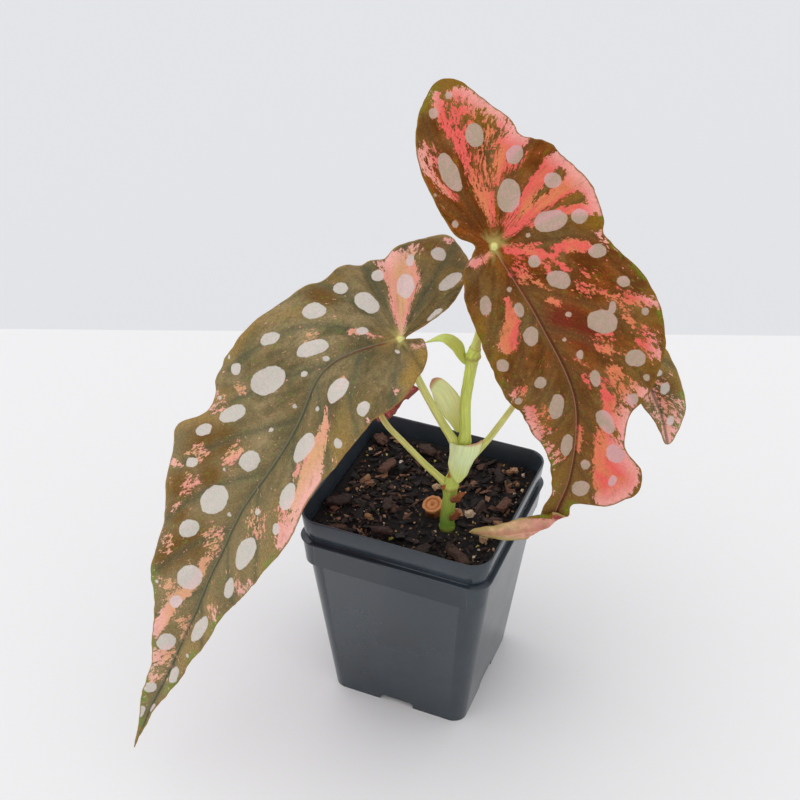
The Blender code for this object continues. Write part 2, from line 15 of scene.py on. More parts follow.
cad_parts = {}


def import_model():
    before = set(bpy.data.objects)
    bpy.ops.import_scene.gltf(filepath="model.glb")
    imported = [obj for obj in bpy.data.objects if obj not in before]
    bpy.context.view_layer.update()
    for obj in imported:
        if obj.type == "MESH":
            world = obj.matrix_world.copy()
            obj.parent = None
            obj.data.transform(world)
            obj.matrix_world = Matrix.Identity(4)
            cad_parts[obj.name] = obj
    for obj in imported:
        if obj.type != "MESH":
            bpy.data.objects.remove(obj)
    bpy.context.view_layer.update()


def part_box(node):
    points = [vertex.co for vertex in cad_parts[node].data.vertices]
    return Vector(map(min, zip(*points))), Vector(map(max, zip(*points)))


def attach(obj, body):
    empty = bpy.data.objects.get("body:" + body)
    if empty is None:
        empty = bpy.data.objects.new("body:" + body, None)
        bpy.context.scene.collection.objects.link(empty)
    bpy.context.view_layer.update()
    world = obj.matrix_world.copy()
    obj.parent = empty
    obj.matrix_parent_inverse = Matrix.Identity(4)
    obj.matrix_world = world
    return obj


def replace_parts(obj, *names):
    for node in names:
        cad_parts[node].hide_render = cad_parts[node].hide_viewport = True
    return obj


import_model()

MM = 0.001
SEED = 7
POT_LOW, POT_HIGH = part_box("pot")
ORIGIN = Vector(((POT_LOW[0] + POT_HIGH[0]) / 2, (POT_LOW[1] + POT_HIGH[1]) / 2, POT_LOW[2]))

# Camera: its place above the table, its angles in degrees and its lens
CAMERA_PLACE = (158.0, -417.8, 458.4)
CAMERA_AZIMUTH, CAMERA_ELEVATION, CAMERA_ROLL = 22.27, 34.19, 0.5
CAMERA_LENS = 56.34
TABLE_DEPTH = 760.0             # from the camera's foot to where the table ends
TABLE_REACH = 4000.0
TENT_STRENGTH = 0.92
KEY_STRENGTH, KEY_SPREAD, KEY_DIRECTION = 0.6, 70.0, (0.45, 0.2, -0.87)

# Pot: (half width, corner radius, height) of the outer wall, from the feet to the rim
POT_OUTSIDE = [(33.4, 6.5, 0.0), (42.3, 10.5, 82.7), (42.8, 7.0, 82.8), (44.2, 9.0, 95.6),
               (44.9, 9.3, 95.7), (44.9, 9.3, 96.5), (43.0, 9.0, 96.6), (44.45, 9.6, 108.9)]
POT_GROOVE = [(42.5, 9.0, 96.7), (42.5, 9.0, 97.5), (43.3, 9.0, 97.8)]
POT_LIP = (44.1, 9.3, 109.3)
WALL = 1.1
FLOOR_TOP = 5.2
ARCH_WIDTH, ARCH_HEIGHT, ARCH_SHOULDER = 17.0, 3.4, 2.0
RECESS_RADIUS, RECESS_DEPTH = 30.0, 3.8
DRAIN_RADIUS, DRAIN_SPREAD = 3.5, 17.0
POT_CORNER_STEPS = 14
POT_EDGE_ROUND = 0.3

# Potting mix
SOIL_TOP = 100.6
SOIL_LUMP = 0.9
SOIL_PITCH = 1.0
SOIL_DEPTH = 8.0
SOIL_INSET = 0.4
SPLINTER = 0.16

# Leaves
LEAF_CELL = 1.15
LEAF_THICKNESS = 0.42
FOLD_CELL, FOLD_REACH = 0.7, 9.0
TAIL_HALF_WIDTH, LOBE_RELEASE = 7.0, 0.4
SPINE_STEPS = 40
MARGIN_NOTCH = 0.4
RUFFLE_LENGTH = 21.0
VEIN_HALF_WIDTH = 0.6
STIPULE_CELL = 0.6
STIPULE_THICKNESS = 0.3

# Cane, from the buried end up, and the scars on it: (x, y, z, radius). Stub: (x, y, z)
CANE = [(15.6, -15.2, 87.0, 2.6), (16.0, -15.0, 100.0, 3.3), (16.2, -14.9, 110.0, 3.1),
        (16.6, -14.7, 118.0, 2.9), (16.7, -14.6, 124.0, 3.5), (17.8, -14.2, 129.5, 2.7),
        (19.3, -13.6, 136.0, 2.6), (20.6, -13.0, 143.0, 3.0), (21.5, -12.6, 148.0, 3.0),
        (21.7, -12.5, 153.0, 2.4), (21.4, -12.6, 169.0, 2.3), (22.7, -12.2, 184.0, 2.4),
        (23.4, -11.9, 190.5, 2.9), (24.0, -11.6, 194.0, 2.3)]
CANE_NODES = [124.0, 145.0, 190.0]
SOIL_RING_RISE = 0.6
SCARS = [(16.0, -17.3, 131.0, 1.7), (22.6, -15.0, 139.0, 1.5), (14.6, -17.0, 124.5, 1.5)]
STUB = [(6.8, -5.0, 94.0), (6.6, -7.4, 103.0), (6.4, -8.3, 106.2)]
STUB_RADIUS = 4.4
STUB_SIDES = 48

# Leaf stalks: (x, y, z) from the cane towards the leaf, whose underside ends them; end radii
PETIOLES = {
    "upper": dict(path=[(24.2, -11.5, 194.8), (25.2, -8.2, 204.0), (26.4, -4.4, 218.0),
                        (26.8, -4.2, 230.0)], radii=(2.0, 1.5), root=1.0),
    "drooping": dict(path=[(16.6, -14.6, 149.4), (12.0, -16.8, 159.0), (5.6, -20.0, 174.0),
                           (0.6, -21.6, 186.0)], radii=(2.2, 1.6), root=4.0),
    "small": dict(path=[(12.9, -15.1, 126.6), (5.0, -16.4, 134.0), (-4.0, -17.4, 143.0),
                        (-12.0, -17.6, 150.6)], radii=(1.9, 1.3), root=3.0),
    "right": dict(path=[(24.2, -11.8, 138.4), (31.0, -7.6, 149.0), (38.5, -2.8, 163.2),
                        (43.0, 10.0, 171.0), (46.4, 27.0, 176.5)], radii=(1.8, 1.3), root=4.5),
}
STEM_SIDES = 32
STEM_STEP = 0.7

# Leaves: the spine is the midrib in space, and the facing turns the upper side. Flat leaf
# coordinates are (along the midrib from the stalk, across it). Spots are (along, across,
# length, width, turn in degrees). Strokes of pink are chains of (along, across, width).
UPPER = dict(
    spine=[(-2, 6, 292), (10, -7, 268), (29, -10, 240), (49, -10, 212), (66, -8, 178),
           (68, -11, 143), (63, -14, 118)],
    facing=[(0.3, -0.6, 0.65), (0.3, -0.7, 0.6), (0.3, -0.76, 0.5), (0.3, -0.8, 0.35),
            (0.3, -0.85, 0.2), (0.3, -0.9, 0.1), (0.3, -0.9, 0.1)],
    attach=2, lift=(8, 8), roll_off=(0.006, 0.006), fold=(131, 55, 1.3),
    outline=[(-4, -7), (-12, -11), (-26, -12), (-38, -12), (-50, -10), (-61, -5), (-66, 1),
             (-64, 9), (-57, 16), (-49, 25), (-37, 28), (-27, 36), (-17, 39), (-1, 43), (13, 41),
             (21, 38), (36, 43), (49, 43), (62, 40), (71, 32), (76, 26), (82, 20), (90, 19),
             (96, 23), (102, 28), (110, 28), (116, 20), (120, 10), (123, 5), (130, 6), (138, 8),
             (147, 7), (158, 4), (170, 0), (158, -3), (147, -5), (138, -7), (130, -6), (118, -6),
             (106, -9), (96, -13), (86, -19), (69, -24), (51, -26), (40, -25), (23, -23),
             (14, -21), (4, -17), (0, -12)],
    sinus=-100, rays=(-160, -178, 160, 138, 112, 88, 64, -35, -62), laterals=(16, 34, 54, 76, 98),
    spots=[(-43, 11, 10, 7, 0), (-32, -2, 15, 7, 5), (-14, 14, 13, 9, -30), (-54, -3, 4, 4, 0),
           (-60, 4, 3, 3, 0), (-28, 23, 9, 7, -15), (-10, 31, 7, 6, 45), (3, 23, 13, 9, 65),
           (8, 33, 7, 6, 40), (23, 32, 7, 5, 65), (13, 10, 5, 5, 0), (24, 14, 9, 7, 45),
           (36, 35, 6, 4, 45), (17, -15, 8, 5, -25), (26, -5, 6, 4, 0), (38, -6, 8, 6, -25),
           (37, 11, 3, 2, 45), (43, -21, 6, 5, 0), (58, -11, 6, 5, 10), (54, 8, 4, 3, -25),
           (65, 10, 7, 4, -10), (46, 21, 12, 9, 50), (43, 27, 5, 3, -25), (50, 37, 3, 3, 0),
           (63, 27, 8, 6, 80), (70, 29, 3, 2, 85), (73, -8, 14, 6, -10), (93, -4, 11, 5, 0),
           (82, 11, 11, 6, 30), (95, 16, 9, 7, 35), (101, 5, 5, 4, 0), (113, 5, 8, 7, -35),
           (107, 17, 5, 4, 0), (75, 22, 5, 4, 85), (63, -22, 5, 3, -10), (-15, -9, 3, 3, 0),
           (-27, -11, 2, 2, 0), (3, 13, 2, 2, 0), (17, -4, 2, 2, 0), (87, -11, 2, 2, 0),
           (46, 5, 2, 2, 0)],
    pink=[[(-61, -1, 3), (-54, 0, 5), (-45, 4, 5), (-34, 6, 3), (-19, 5, 3), (-8, 3, 1)],
          [(-61, 5, 3), (-57, 12, 6), (-53, 17, 5), (-49, 23, 4)],
          [(-18, 7, 5), (-7, 4, 1)],
          [(-21, 13, 3), (-28, 18, 6), (-34, 24, 11), (-42, 30, 10)],
          [(-1, 5, 1), (-6, 13, 5), (-11, 22, 5), (-16, 33, 7), (-17, 38, 5)],
          [(-1, 8, 2), (-4, 19, 4), (-5, 30, 5), (-5, 41, 8), (1, 43, 9), (10, 42, 6)],
          [(-15, 38, 4), (-6, 41, 7)], [(0, 16, 2), (1, 28, 3), (8, 38, 5)],
          [(13, 18, 2), (16, 25, 5), (20, 30, 3)], [(2, 3, 1), (5, 9, 1), (9, 15, 1)],
          [(4, 3, 2), (7, 7, 3), (11, 12, 3), (16, 17, 3)], [(15, 12, 2), (20, 13, 2)],
          [(17, 16, 2), (23, 19, 2)], [(14, 3, 2), (19, 5, 2), (25, 9, 1)],
          [(35, 26, 1), (42, 31, 1), (44, 36, 3), (50, 43, 3)], [(48, 30, 2), (53, 31, 2), (55, 33, 1)],
          [(54, 16, 3), (57, 18, 3), (59, 22, 1)], [(20, -7, 2), (29, -10, 6), (36, -15, 8)],
          [(0, -12, 3), (2, -9, 3), (2, -3, 2)], [(70, -19, 4), (83, -18, 5), (93, -16, 4)],
          [(67, 12, 2), (72, 12, 3), (77, 14, 8), (82, 18, 8), (89, 20, 3)],
          [(67, 18, 2), (72, 19, 3), (76, 20, 5)], [(71, 23, 2), (74, 27, 3)],
          [(86, 10, 4), (94, 13, 12), (105, 18, 19), (112, 18, 14)], [(86, 1, 2), (95, 1, 2)],
          [(-38, -6, 3), (-42, -9, 2)], [(-36, -10, 3), (-29, -7, 2), (-23, -4, 2)],
          [(60, 34, 2), (64, 35, 3)], [(19, 40, 1), (22, 40, 1)],
          [(29, 7, 2), (32, 10, 2)], [(55, 6, 1), (59, 8, 1)], [(117, -6, 2), (123, -7, 1)],
          [(134, 1, 6), (141, 0, 12), (152, 1, 9), (164, 0, 3)]],
    mottled=[(-50, 8, 14), (-38, 13, 13), (-26, 9, 9), (-44, 22, 10), (-40, -8, 9), (14, 4, 8),
             (30, 22, 8), (42, 32, 8), (60, 33, 8), (20, 36, 6), (85, -16, 8), (-26, 22, 8),
             (75, -12, 8), (98, -9, 9), (58, -20, 7), (-6, 10, 6), (66, 18, 7),
             (52, 19, 7), (64, 8, 6), (76, 18, 7), (88, 10, 6), (46, 24, 6)],
    tinted=[(-14, 0, 8), (-26, 1, 8), (-38, -4, 7), (-50, -5, 7), (-20, 28, 5), (-28, 33, 5),
            (-9, 20, 4), (24, 26, 8)],
    red=[(38, 8, 11), (48, 13, 8)],
    green=[(-64, -3, 8), (-58, -8, 6), (12, 42, 7), (24, 40, 7), (36, 44, 9), (52, 44, 9),
           (62, 42, 5), (20, 20, 8), (80, -4, 12), (100, -8, 10), (114, 0, 10), (95, -14, 6),
           (30, -18, 8), (50, -20, 8), (124, 2, 10), (118, 18, 4), (138, 6, 8)],
)
DROOPING = dict(
    spine=[(38, 20, 200), (17, -2, 202), (-4, -23, 198), (-24, -48, 194), (-35, -62, 165),
           (-52, -82, 130), (-66, -100, 86), (-86, -125, 28)],
    facing=[(0.1, -0.4, 0.9), (0.13, -0.5, 0.86), (0.13, -0.55, 0.83), (0.0, -0.5, 0.85),
            (-0.1, -0.55, 0.75), (-0.15, -0.65, 0.6), (-0.1, -0.8, 0.4), (-0.1, -0.85, 0.3)],
    attach=2, lift=(10, 10), roll_off=(0.006, 0.004), fold=None,
    outline=[(-2, 1), (-7, 4), (-8, 9), (-4, 15), (4, 22), (14, 28), (26, 32), (42, 31), (53, 28),
             (70, 25), (84, 26), (98, 27), (110, 26), (127, 21), (144, 14), (159, 12), (174, 8),
             (191, 5), (212, 1), (227, 0), (210, -3), (198, -6), (188, -8), (176, -12),
             (167, -15), (150, -25), (135, -29), (122, -32), (112, -37), (101, -45), (94, -47),
             (82, -40), (67, -43), (55, -44), (45, -40), (34, -36), (22, -35), (8, -37),
             (-6, -35), (-16, -38), (-25, -39), (-34, -36), (-39, -29), (-38, -21), (-32, -12),
             (-23, -5), (-12, -2)],
    sinus=165, rays=(-62, -92, -118, -142, 58, 96), laterals=(14, 36, 60, 86, 114, 144, 176),
    spots=[(-3, -28, 5, 5, 0), (-11, -20, 11, 7, 65), (-17, -30, 6, 3, 65), (-28, -29, 6, 6, 0),
           (-28, -16, 12, 5, 25), (-17, -4, 8, 3, 20), (7, -18, 11, 8, -55), (14, -7, 5, 3, -15),
           (14, -28, 6, 5, -75), (25, -23, 8, 6, -60), (38, -27, 7, 4, -65), (32, -10, 11, 6, -40),
           (53, -35, 7, 5, -45), (50, -19, 17, 10, -40), (40, -6, 3, 2, -50), (36, 12, 12, 7, 5),
           (34, 26, 8, 5, 0), (64, 10, 14, 8, -10), (54, 23, 4, 4, 0), (49, 29, 2, 2, 0),
           (83, 16, 11, 7, 20), (63, 26, 2, 2, 0), (68, -9, 3, 2, -15), (97, 8, 3, 3, 0),
           (53, -4, 2, 2, 0), (48, 7, 2, 2, 0), (96, 20, 5, 3, 20), (74, -28, 15, 7, -35),
           (88, -35, 8, 5, -40), (84, -9, 10, 8, -25), (101, -31, 6, 4, -65),
           (106, -13, 14, 11, -35), (122, -17, 10, 7, -40), (140, -8, 13, 10, -30),
           (114, 13, 15, 8, 0), (132, 12, 10, 5, 0), (154, -10, 7, 5, -30), (157, 6, 14, 6, -10),
           (172, -6, 10, 7, -25), (184, 3, 9, 4, 0), (195, -4, 6, 5, -40), (208, -3, 7, 3, -5),
           (203, 1, 5, 2, -10), (94, -16, 2, 2, 0), (107, -4, 2, 2, 0), (31, -3, 3, 2, -45),
           (51, -41, 2, 2, 0), (4, 6, 2, 2, 0), (73, -38, 2, 2, 0), (171, 6, 2, 2, 0),
           (151, -21, 2, 2, 0)],
    pink=[[(-1, -1, 1), (-4, -8, 5), (-7, -15, 9), (-11, -22, 13), (-12, -29, 13), (-12, -34, 5)],
          [(-5, -33, 2), (-5, -26, 2)],
          [(45, 11, 1), (51, 14, 4), (57, 15, 5), (65, 17, 8), (72, 20, 10), (79, 23, 11),
           (87, 23, 11), (94, 24, 8), (100, 25, 4)],
          [(70, 13, 2), (75, 13, 2)],
          [(122, -3, 1), (126, -3, 2), (131, -5, 3), (137, -4, 3), (144, -6, 4), (150, -9, 5),
           (157, -11, 6), (166, -12, 6), (171, -12, 4)],
          [(161, -1, 1), (169, 0, 1)], [(174, -4, 4), (180, -6, 5), (185, -10, 4)],
          [(123, 21, 3), (129, 22, 1)], [(106, -39, 3), (105, -35, 1)], [(100, -36, 1), (96, -32, 1)],
          [(88, -19, 1), (82, -19, 1)], [(90, -16, 1), (83, -15, 2)], [(112, -27, 1), (105, -24, 1)],
          [(121, -28, 1), (116, -27, 1)], [(18, -8, 2), (8, -3, 1)], [(-5, 7, 2), (-3, 6, 2)],
          [(-8, 7, 2), (-7, 6, 1)], [(-33, -34, 2), (-37, -35, 2)], [(37, 30, 2), (38, 31, 2)],
          [(14, 23, 2), (16, 25, 1)], [(35, 12, 1), (31, 10, 1)]],
    mottled=[(-20, -34, 6), (88, 19, 8), (97, -30, 7), (108, -26, 7), (88, -17, 6), (133, -24, 7),
             (178, -4, 9), (160, -3, 7), (128, 17, 7), (120, -6, 9), (100, 10, 9), (75, -38, 9),
             (190, -4, 8), (146, 8, 7), (60, -30, 6), (150, -14, 8), (30, -14, 6)],
    tinted=[(93, -30, 14), (86, -24, 10), (110, -29, 11), (126, -14, 13), (133, -20, 13),
            (120, -25, 9), (140, -22, 9), (100, -20, 9), (20, -28, 8), (-26, -34, 7)],
    green=[(150, -24, 8), (156, -22, 6), (178, -11, 8), (190, -8, 8), (200, -5, 8),
           (214, -1, 8), (150, 13, 8), (128, 21, 6), (110, 26, 6), (170, 9, 8), (190, 5, 7)],
)
SMALL = dict(
    spine=[(3, -13, 162), (-19, -13, 157), (-42, -5, 158), (-62, 8, 150), (-74, 18, 134)],
    facing=[(-0.25, 0.75, 0.45), (-0.3, 0.85, 0.45), (-0.4, 0.85, 0.5), (-0.6, 0.8, 0.5),
            (-0.8, 0.7, 0.4)],
    attach=1, lift=(10, -12), roll_off=(0.004, 0.004), fold=None,
    outline=[(-23, 16), (-24, 10), (-17, 4), (-10, -3), (-4, -9), (3, -14), (10, -16), (20, -15),
             (34, -11), (50, -7), (64, 0), (49, 9), (33, 17), (16, 24), (0, 26), (-13, 25),
             (-19, 21)],
    sinus=-170, rays=(60, 90, 125, -60), laterals=(12, 26, 42),
    spots=[(6, 14, 8, 6, 60), (18, 9, 8, 5, 40), (-8, 17, 7, 5, 100), (30, 9, 7, 4, 35),
           (20, -6, 7, 4, -30), (36, -4, 5, 3, -20), (44, 3, 4, 3, 10), (4, -5, 4, 3, -50),
           (-14, 11, 4, 3, 140), (14, 19, 3, 3, 0)],
    pink=[[(-16, 20, 3), (-10, 14, 2)], [(24, 16, 3), (34, 13, 2)]],
    mottled=[(-12, 20, 6), (28, 14, 6), (-18, 8, 6), (-6, -6, 6)],
    tinted=[(10, 4, 9), (34, 2, 8)], green=[(50, -7, 6), (58, 4, 6)],
)
RIGHT = dict(
    spine=[(32, 30, 190), (48, 37, 186), (66, 40, 184), (82, 35, 173), (93, 29, 160),
           (102, 17, 148)],
    facing=[(0.3, -0.4, 0.85), (0.3, -0.45, 0.85), (0.35, -0.5, 0.8), (0.4, -0.5, 0.7),
            (0.45, -0.6, 0.6), (0.45, -0.65, 0.55)],
    attach=1, lift=(10, 10), roll_off=(0.006, 0.006), fold=None,
    outline=[(-2, 0), (-9, 5), (-12, 13), (-6, 19), (6, 21), (20, 18), (34, 14), (46, 13),
             (58, 12), (68, 7), (75, 0), (66, -4), (54, -7), (38, -11), (20, -13), (6, -12),
             (-3, -6)],
    sinus=165, rays=(60, 95, 130, -60), laterals=(12, 28, 44, 58),
    spots=[(52, 5, 5, 4, -30), (65, 3, 4, 3, -20), (45, 5, 4, 3, 60), (8, 9, 8, 6, 50),
           (-4, 13, 6, 4, 110), (20, 11, 8, 5, 40), (34, 8, 6, 4, 35), (12, -6, 7, 4, -30),
           (26, -7, 7, 4, -25), (40, -5, 5, 3, -20), (28, 3, 3, 3, 0)],
    pink=[[(52, -1, 2), (58, 1, 3), (69, 1, 5), (75, 0, 4)], [(58, 8, 2), (61, 10, 2)],
          [(46, -4, 3), (53, -4, 2)]],
    mottled=[(60, 2, 12), (48, 1, 11), (66, 5, 8), (36, 6, 8)],
    tinted=[(14, 2, 9), (36, 0, 8), (52, 4, 9)], green=[(58, 12, 7), (68, 7, 7), (30, 16, 9)],
)
LEAVES = {"upper": UPPER, "drooping": DROOPING, "small": SMALL, "right": RIGHT}

STIPULES = {
    "stipule_top": dict(
        spine=[(19.8, -13.2, 189.6), (17.2, -13.8, 195.2), (12.2, -15.0, 198.4),
               (6.1, -17.8, 196.2)],
        facing=[(0.8, -0.4, 0.35), (0.5, -0.4, 0.7), (0.0, -0.4, 0.9), (-0.3, -0.4, 0.85)],
        lift=(-15, -15), roll_off=(0.0, 0.0),
        outline=[(-3, 1), (0, 2), (5, 3), (11, 3), (17, 1), (21, 0), (17, -1), (11, -2), (5, -3),
                 (0, -2), (-3, -1)]),
    "stipule_large": dict(
        spine=[(18.2, -10.2, 150.8), (15.6, -9.6, 158.0), (11.4, -10.8, 168.0),
               (6.0, -13.6, 176.0)],
        facing=[(0.4, -0.75, 0.4), (0.4, -0.75, 0.4), (0.4, -0.75, 0.4), (0.4, -0.7, 0.5)],
        lift=(10, 10), roll_off=(0.05, 0.05),
        outline=[(0, 1), (5, 3), (12, 5), (20, 5), (26, 3), (28, 0), (26, -3), (20, -4), (12, -5),
                 (5, -4), (0, -2)]),
    "stipule_collar": dict(
        spine=[(20.4, -17.0, 130.5), (21.6, -17.2, 137.0), (23.0, -16.9, 144.0),
               (23.9, -16.7, 150.5)],
        facing=[(0.35, -0.9, 0.1), (0.35, -0.9, 0.1), (0.35, -0.9, 0.1), (0.35, -0.9, 0.1)],
        lift=(0, 0), roll_off=(0.13, 0.13),
        outline=[(-2, -1), (1, 2), (6, 5), (12, 6), (17, 7), (18, 4), (19, 0), (20, -4),
                 (20, -8), (15, -7), (9, -5), (3, -4)]),
    "stipule_dry_upper": dict(
        spine=[(20.2, -16.6, 118.5), (21.4, -17.0, 122.0), (23.6, -17.6, 126.0)],
        facing=[(0.7, -0.7, 0.0), (0.7, -0.7, 0.1), (0.6, -0.7, 0.2)],
        lift=(10, 10), roll_off=(0.1, 0.1),
        outline=[(0, 1), (3, 3), (5, 1.6), (9, 2), (7, 0), (8, -2), (4, -1.2), (0, -2)]),
    "stipule_dry_lower": dict(
        spine=[(19.4, -17.0, 108.5), (20.3, -17.3, 112.0), (21.3, -17.8, 116.6)],
        facing=[(0.7, -0.7, 0.0), (0.7, -0.7, 0.1), (0.7, -0.7, 0.1)],
        lift=(10, 10), roll_off=(0.1, 0.1),
        outline=[(0, 1), (3, 2), (5, 1), (8, 1.4), (7, -0.6), (5, -1), (4, -2.4), (0, -1.6)]),
}

# ---------------------------------------------------------------------------------------------
# Small tools
# ---------------------------------------------------------------------------------------------


def world(points):
    """Millimetres in the pot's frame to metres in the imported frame."""
    return np.asarray(points, float) * MM + np.array(ORIGIN)


def unit(rows):
    return rows / np.linalg.norm(rows, axis=1)[:, None]


def catmull_rom(p0, p1, p2, p3, t):
    return 0.5 * (2 * p1 + (p2 - p0) * t + (2 * p0 - 5 * p1 + 4 * p2 - p3) * t * t
                  + (3 * p1 - p0 - 3 * p2 + p3) * t ** 3)


def smooth_rows(rows, counts):
    """Rows of numbers along an open Catmull-Rom curve, with a count of steps for each span."""
    rows = np.array(rows, float)
    rows = np.vstack([2 * rows[0] - rows[1], rows, 2 * rows[-1] - rows[-2]])
    path = []
    for i, count in enumerate(counts):
        path += [catmull_rom(*rows[i:i + 4], k / count) for k in range(count)]
    return np.array(path + [rows[-2]])


def even_path(rows, step):
    """The same, with steps of about one length in space."""
    spans = [np.linalg.norm(np.subtract(b[:3], a[:3])) for a, b in zip(rows, rows[1:])]
    return smooth_rows(rows, [max(1, round(span / step)) for span in spans])


def linear(hex_colour):
    """An sRGB hex colour as linear red, green, blue and alpha."""
    parts = [int(hex_colour[i:i + 2], 16) / 255 for i in (1, 3, 5)]
    return (*[p / 12.92 if p <= 0.04045 else ((p + 0.055) / 1.055) ** 2.4 for p in parts], 1.0)


def add(tree, kind, parts=None):
    """Add a node. Each part is a property or a socket, with its value or the node that feeds it."""
    node = tree.nodes.new("ShaderNode" + kind)
    for key, part in (parts or {}).items():
        if isinstance(part, str) and part.startswith("#"):
            part = linear(part)
        if isinstance(part, bpy.types.Node):
            part = next(s for s in part.outputs if s.enabled)
        if isinstance(part, bpy.types.NodeSocket):
            tree.links.new(part, pick(node.inputs, key))
        elif key == "stops":
            ramp = node.color_ramp.elements
            while len(ramp) < len(part):
                ramp.new(0.5)
            for stop, (place, colour) in zip(ramp, part):
                stop.position, stop.color = place, linear(colour)
        elif isinstance(key, str) and hasattr(node, key):
            setattr(node, key, part)
        else:
            pick(node.inputs, key).default_value = part
    return node


def pick(sockets, key):
    """The enabled socket of a name, or the socket of a number."""
    if isinstance(key, int):
        return sockets[key]
    return next(s for s in sockets if s.enabled and s.name == key)


def new_material(name, finish=None):
    """A material with its node tree and its Principled shader."""
    mat = bpy.data.materials.new(name)
    mat.use_nodes = True
    tree = mat.node_tree
    tree.nodes.clear()
    shader = add(tree, "BsdfPrincipled", finish)
    add(tree, "OutputMaterial", {"Surface": shader})
    return mat, tree, shader


def new_piece(name, verts, faces, mats, values=None, smooth=True):
    """A piece of the plant from points in millimetres, riding on the one body."""
    mesh = bpy.data.meshes.new(name)
    mesh.from_pydata([tuple(v) for v in world(verts)], [], [tuple(f) for f in faces])
    for mat in mats:
        mesh.materials.append(mat)
    for key, rows in (values or {}).items():
        rows = np.asarray(rows, np.float32)
        kind, field = ("FLOAT", "value") if rows.ndim == 1 else ("FLOAT_VECTOR", "vector")
        mesh.attributes.new(key, kind, "POINT").data.foreach_set(field, rows.ravel())
    if smooth:
        mesh.shade_smooth()
    mesh.update()
    return place_piece(bpy.data.objects.new(name, mesh))


def place_piece(piece):
    bpy.context.scene.collection.objects.link(piece)
    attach(piece, "root")
    return piece


# ---------------------------------------------------------------------------------------------
# Materials
# ---------------------------------------------------------------------------------------------

# Leaf top colours. The sheen tone is a painted highlight along the ribs, groove is painted shade in the
# sunken ribs and midrib, and rib is a painted highlight on one side of the midrib.
LEAF_PAINTS = {
    "bronze": dict(ground="#8d460c", dark="#5c2d00", grey="#7a6238", tint="#5f2e02",
                   green="#6f7f1c", golden="#90671a", hot="#ea655c", warm="#df8259",
                   pale="#f0aca2", spot="#b59f8a", spot_pink="#d8a3a2", groove="#471c0c",
                   rib="#a8735a", painted_sheen="#775930", fleck=0.642),
    "olive": dict(ground="#7d6943", dark="#5b5235", grey="#97845f", tint="#6e4a16",
                  green="#71903a", golden="#9e7e40", hot="#ec9f90", warm="#deaa80",
                  pale="#f2b6ae", spot="#cbc5ba", spot_pink="#dfc5c0", groove="#434433",
                  rib="#7f7c64", painted_sheen="#62634a", fleck=0.64),
}


def flow_noise(tree, scale, detail, seed, roughness=0.6):
    """Noise in millimetres that runs out from the stalk in the lobes and along the side ribs."""
    rays, ribs = (
        add(tree, "TexNoise", {"noise_dimensions": "4D", "Scale": scale, "Detail": detail,
                               "Roughness": roughness, "W": seed,
                               "Vector": add(tree, "Attribute",
                                             {"attribute_name": key}).outputs["Vector"]})
        for key in ("rays", "ribs"))
    forward = add(tree, "Attribute", {"attribute_name": "forward"}).outputs["Fac"]
    return add(tree, "Mix", {"data_type": "FLOAT", "Factor": forward, "A": rays, "B": ribs})


def leaf_masks(tree, level):
    """Where a leaf is pink and spotted, each from 0 to 1, from the distances its mesh carries."""
    flat = add(tree, "Attribute", {"attribute_name": "flat"}).outputs["Vector"]
    mottle, pink_edge, spot_edge = (add(tree, "Attribute", {"attribute_name": key}).outputs["Fac"]
                                    for key in ("mottle", "pink", "spot"))
    rag = flow_noise(tree, 0.8, 5, 1.0, 0.75)
    fine = add(tree, "TexNoise", {"Scale": 1.1, "Detail": 3.0, "Vector": flat})
    swing = add(tree, "Math", {"operation": "MULTIPLY",
                               0: add(tree, "Math", {"operation": "SUBTRACT", 0: rag, 1: 0.5}),
                               1: add(tree, "Math", {"operation": "MULTIPLY_ADD", 0: mottle,
                                                     1: 17.0, 2: 8.5})})
    swing = add(tree, "Math", {"operation": "ADD", 0: swing,
                               1: add(tree, "Math", {"operation": "MULTIPLY_ADD", 0: fine, 1: 3.0,
                                                     2: -1.5})})
    pink = add(tree, "MapRange", {"Value": add(tree, "Math",
                                               {"operation": "ADD", 0: pink_edge, 1: swing}),
                                  "From Min": 0.2, "From Max": -0.2})
    fleck = add(tree, "MapRange", {"Value": flow_noise(tree, 0.8, 4, 5.0, 0.7), "From Min": level,
                                   "From Max": level + 0.015})
    pepper = add(tree, "Math", {"operation": "MULTIPLY_ADD", 0: mottle, 1: 0.19,
                                2: flow_noise(tree, 0.6, 5, 21.0, 0.72)})
    pink = add(tree, "Math", {"operation": "MAXIMUM",
                              0: add(tree, "Math", {"operation": "MAXIMUM", 0: pink, 1: fleck}),
                              1: add(tree, "MapRange", {"Value": pepper, "From Min": 0.66,
                                                        "From Max": 0.675})})
    holes = add(tree, "Math", {"operation": "MULTIPLY_ADD", 0: mottle, 1: 0.13,
                               2: flow_noise(tree, 0.7, 5, 33.0, 0.72)})
    pink = add(tree, "Math", {"operation": "MULTIPLY", 0: pink,
                              1: add(tree, "MapRange", {"Value": holes, "From Min": 0.675,
                                                        "From Max": 0.66})})
    wobble = add(tree, "TexNoise", {"Scale": 0.3, "Detail": 4.0, "Vector": flat})
    edge = add(tree, "Math", {"operation": "ADD", 0: spot_edge,
                              1: add(tree, "Math", {"operation": "MULTIPLY_ADD", 0: wobble, 1: 1.6,
                                                    2: -0.75})})
    return flat, pink, add(tree, "MapRange", {"Value": edge, "From Min": 0.15, "From Max": -0.15})


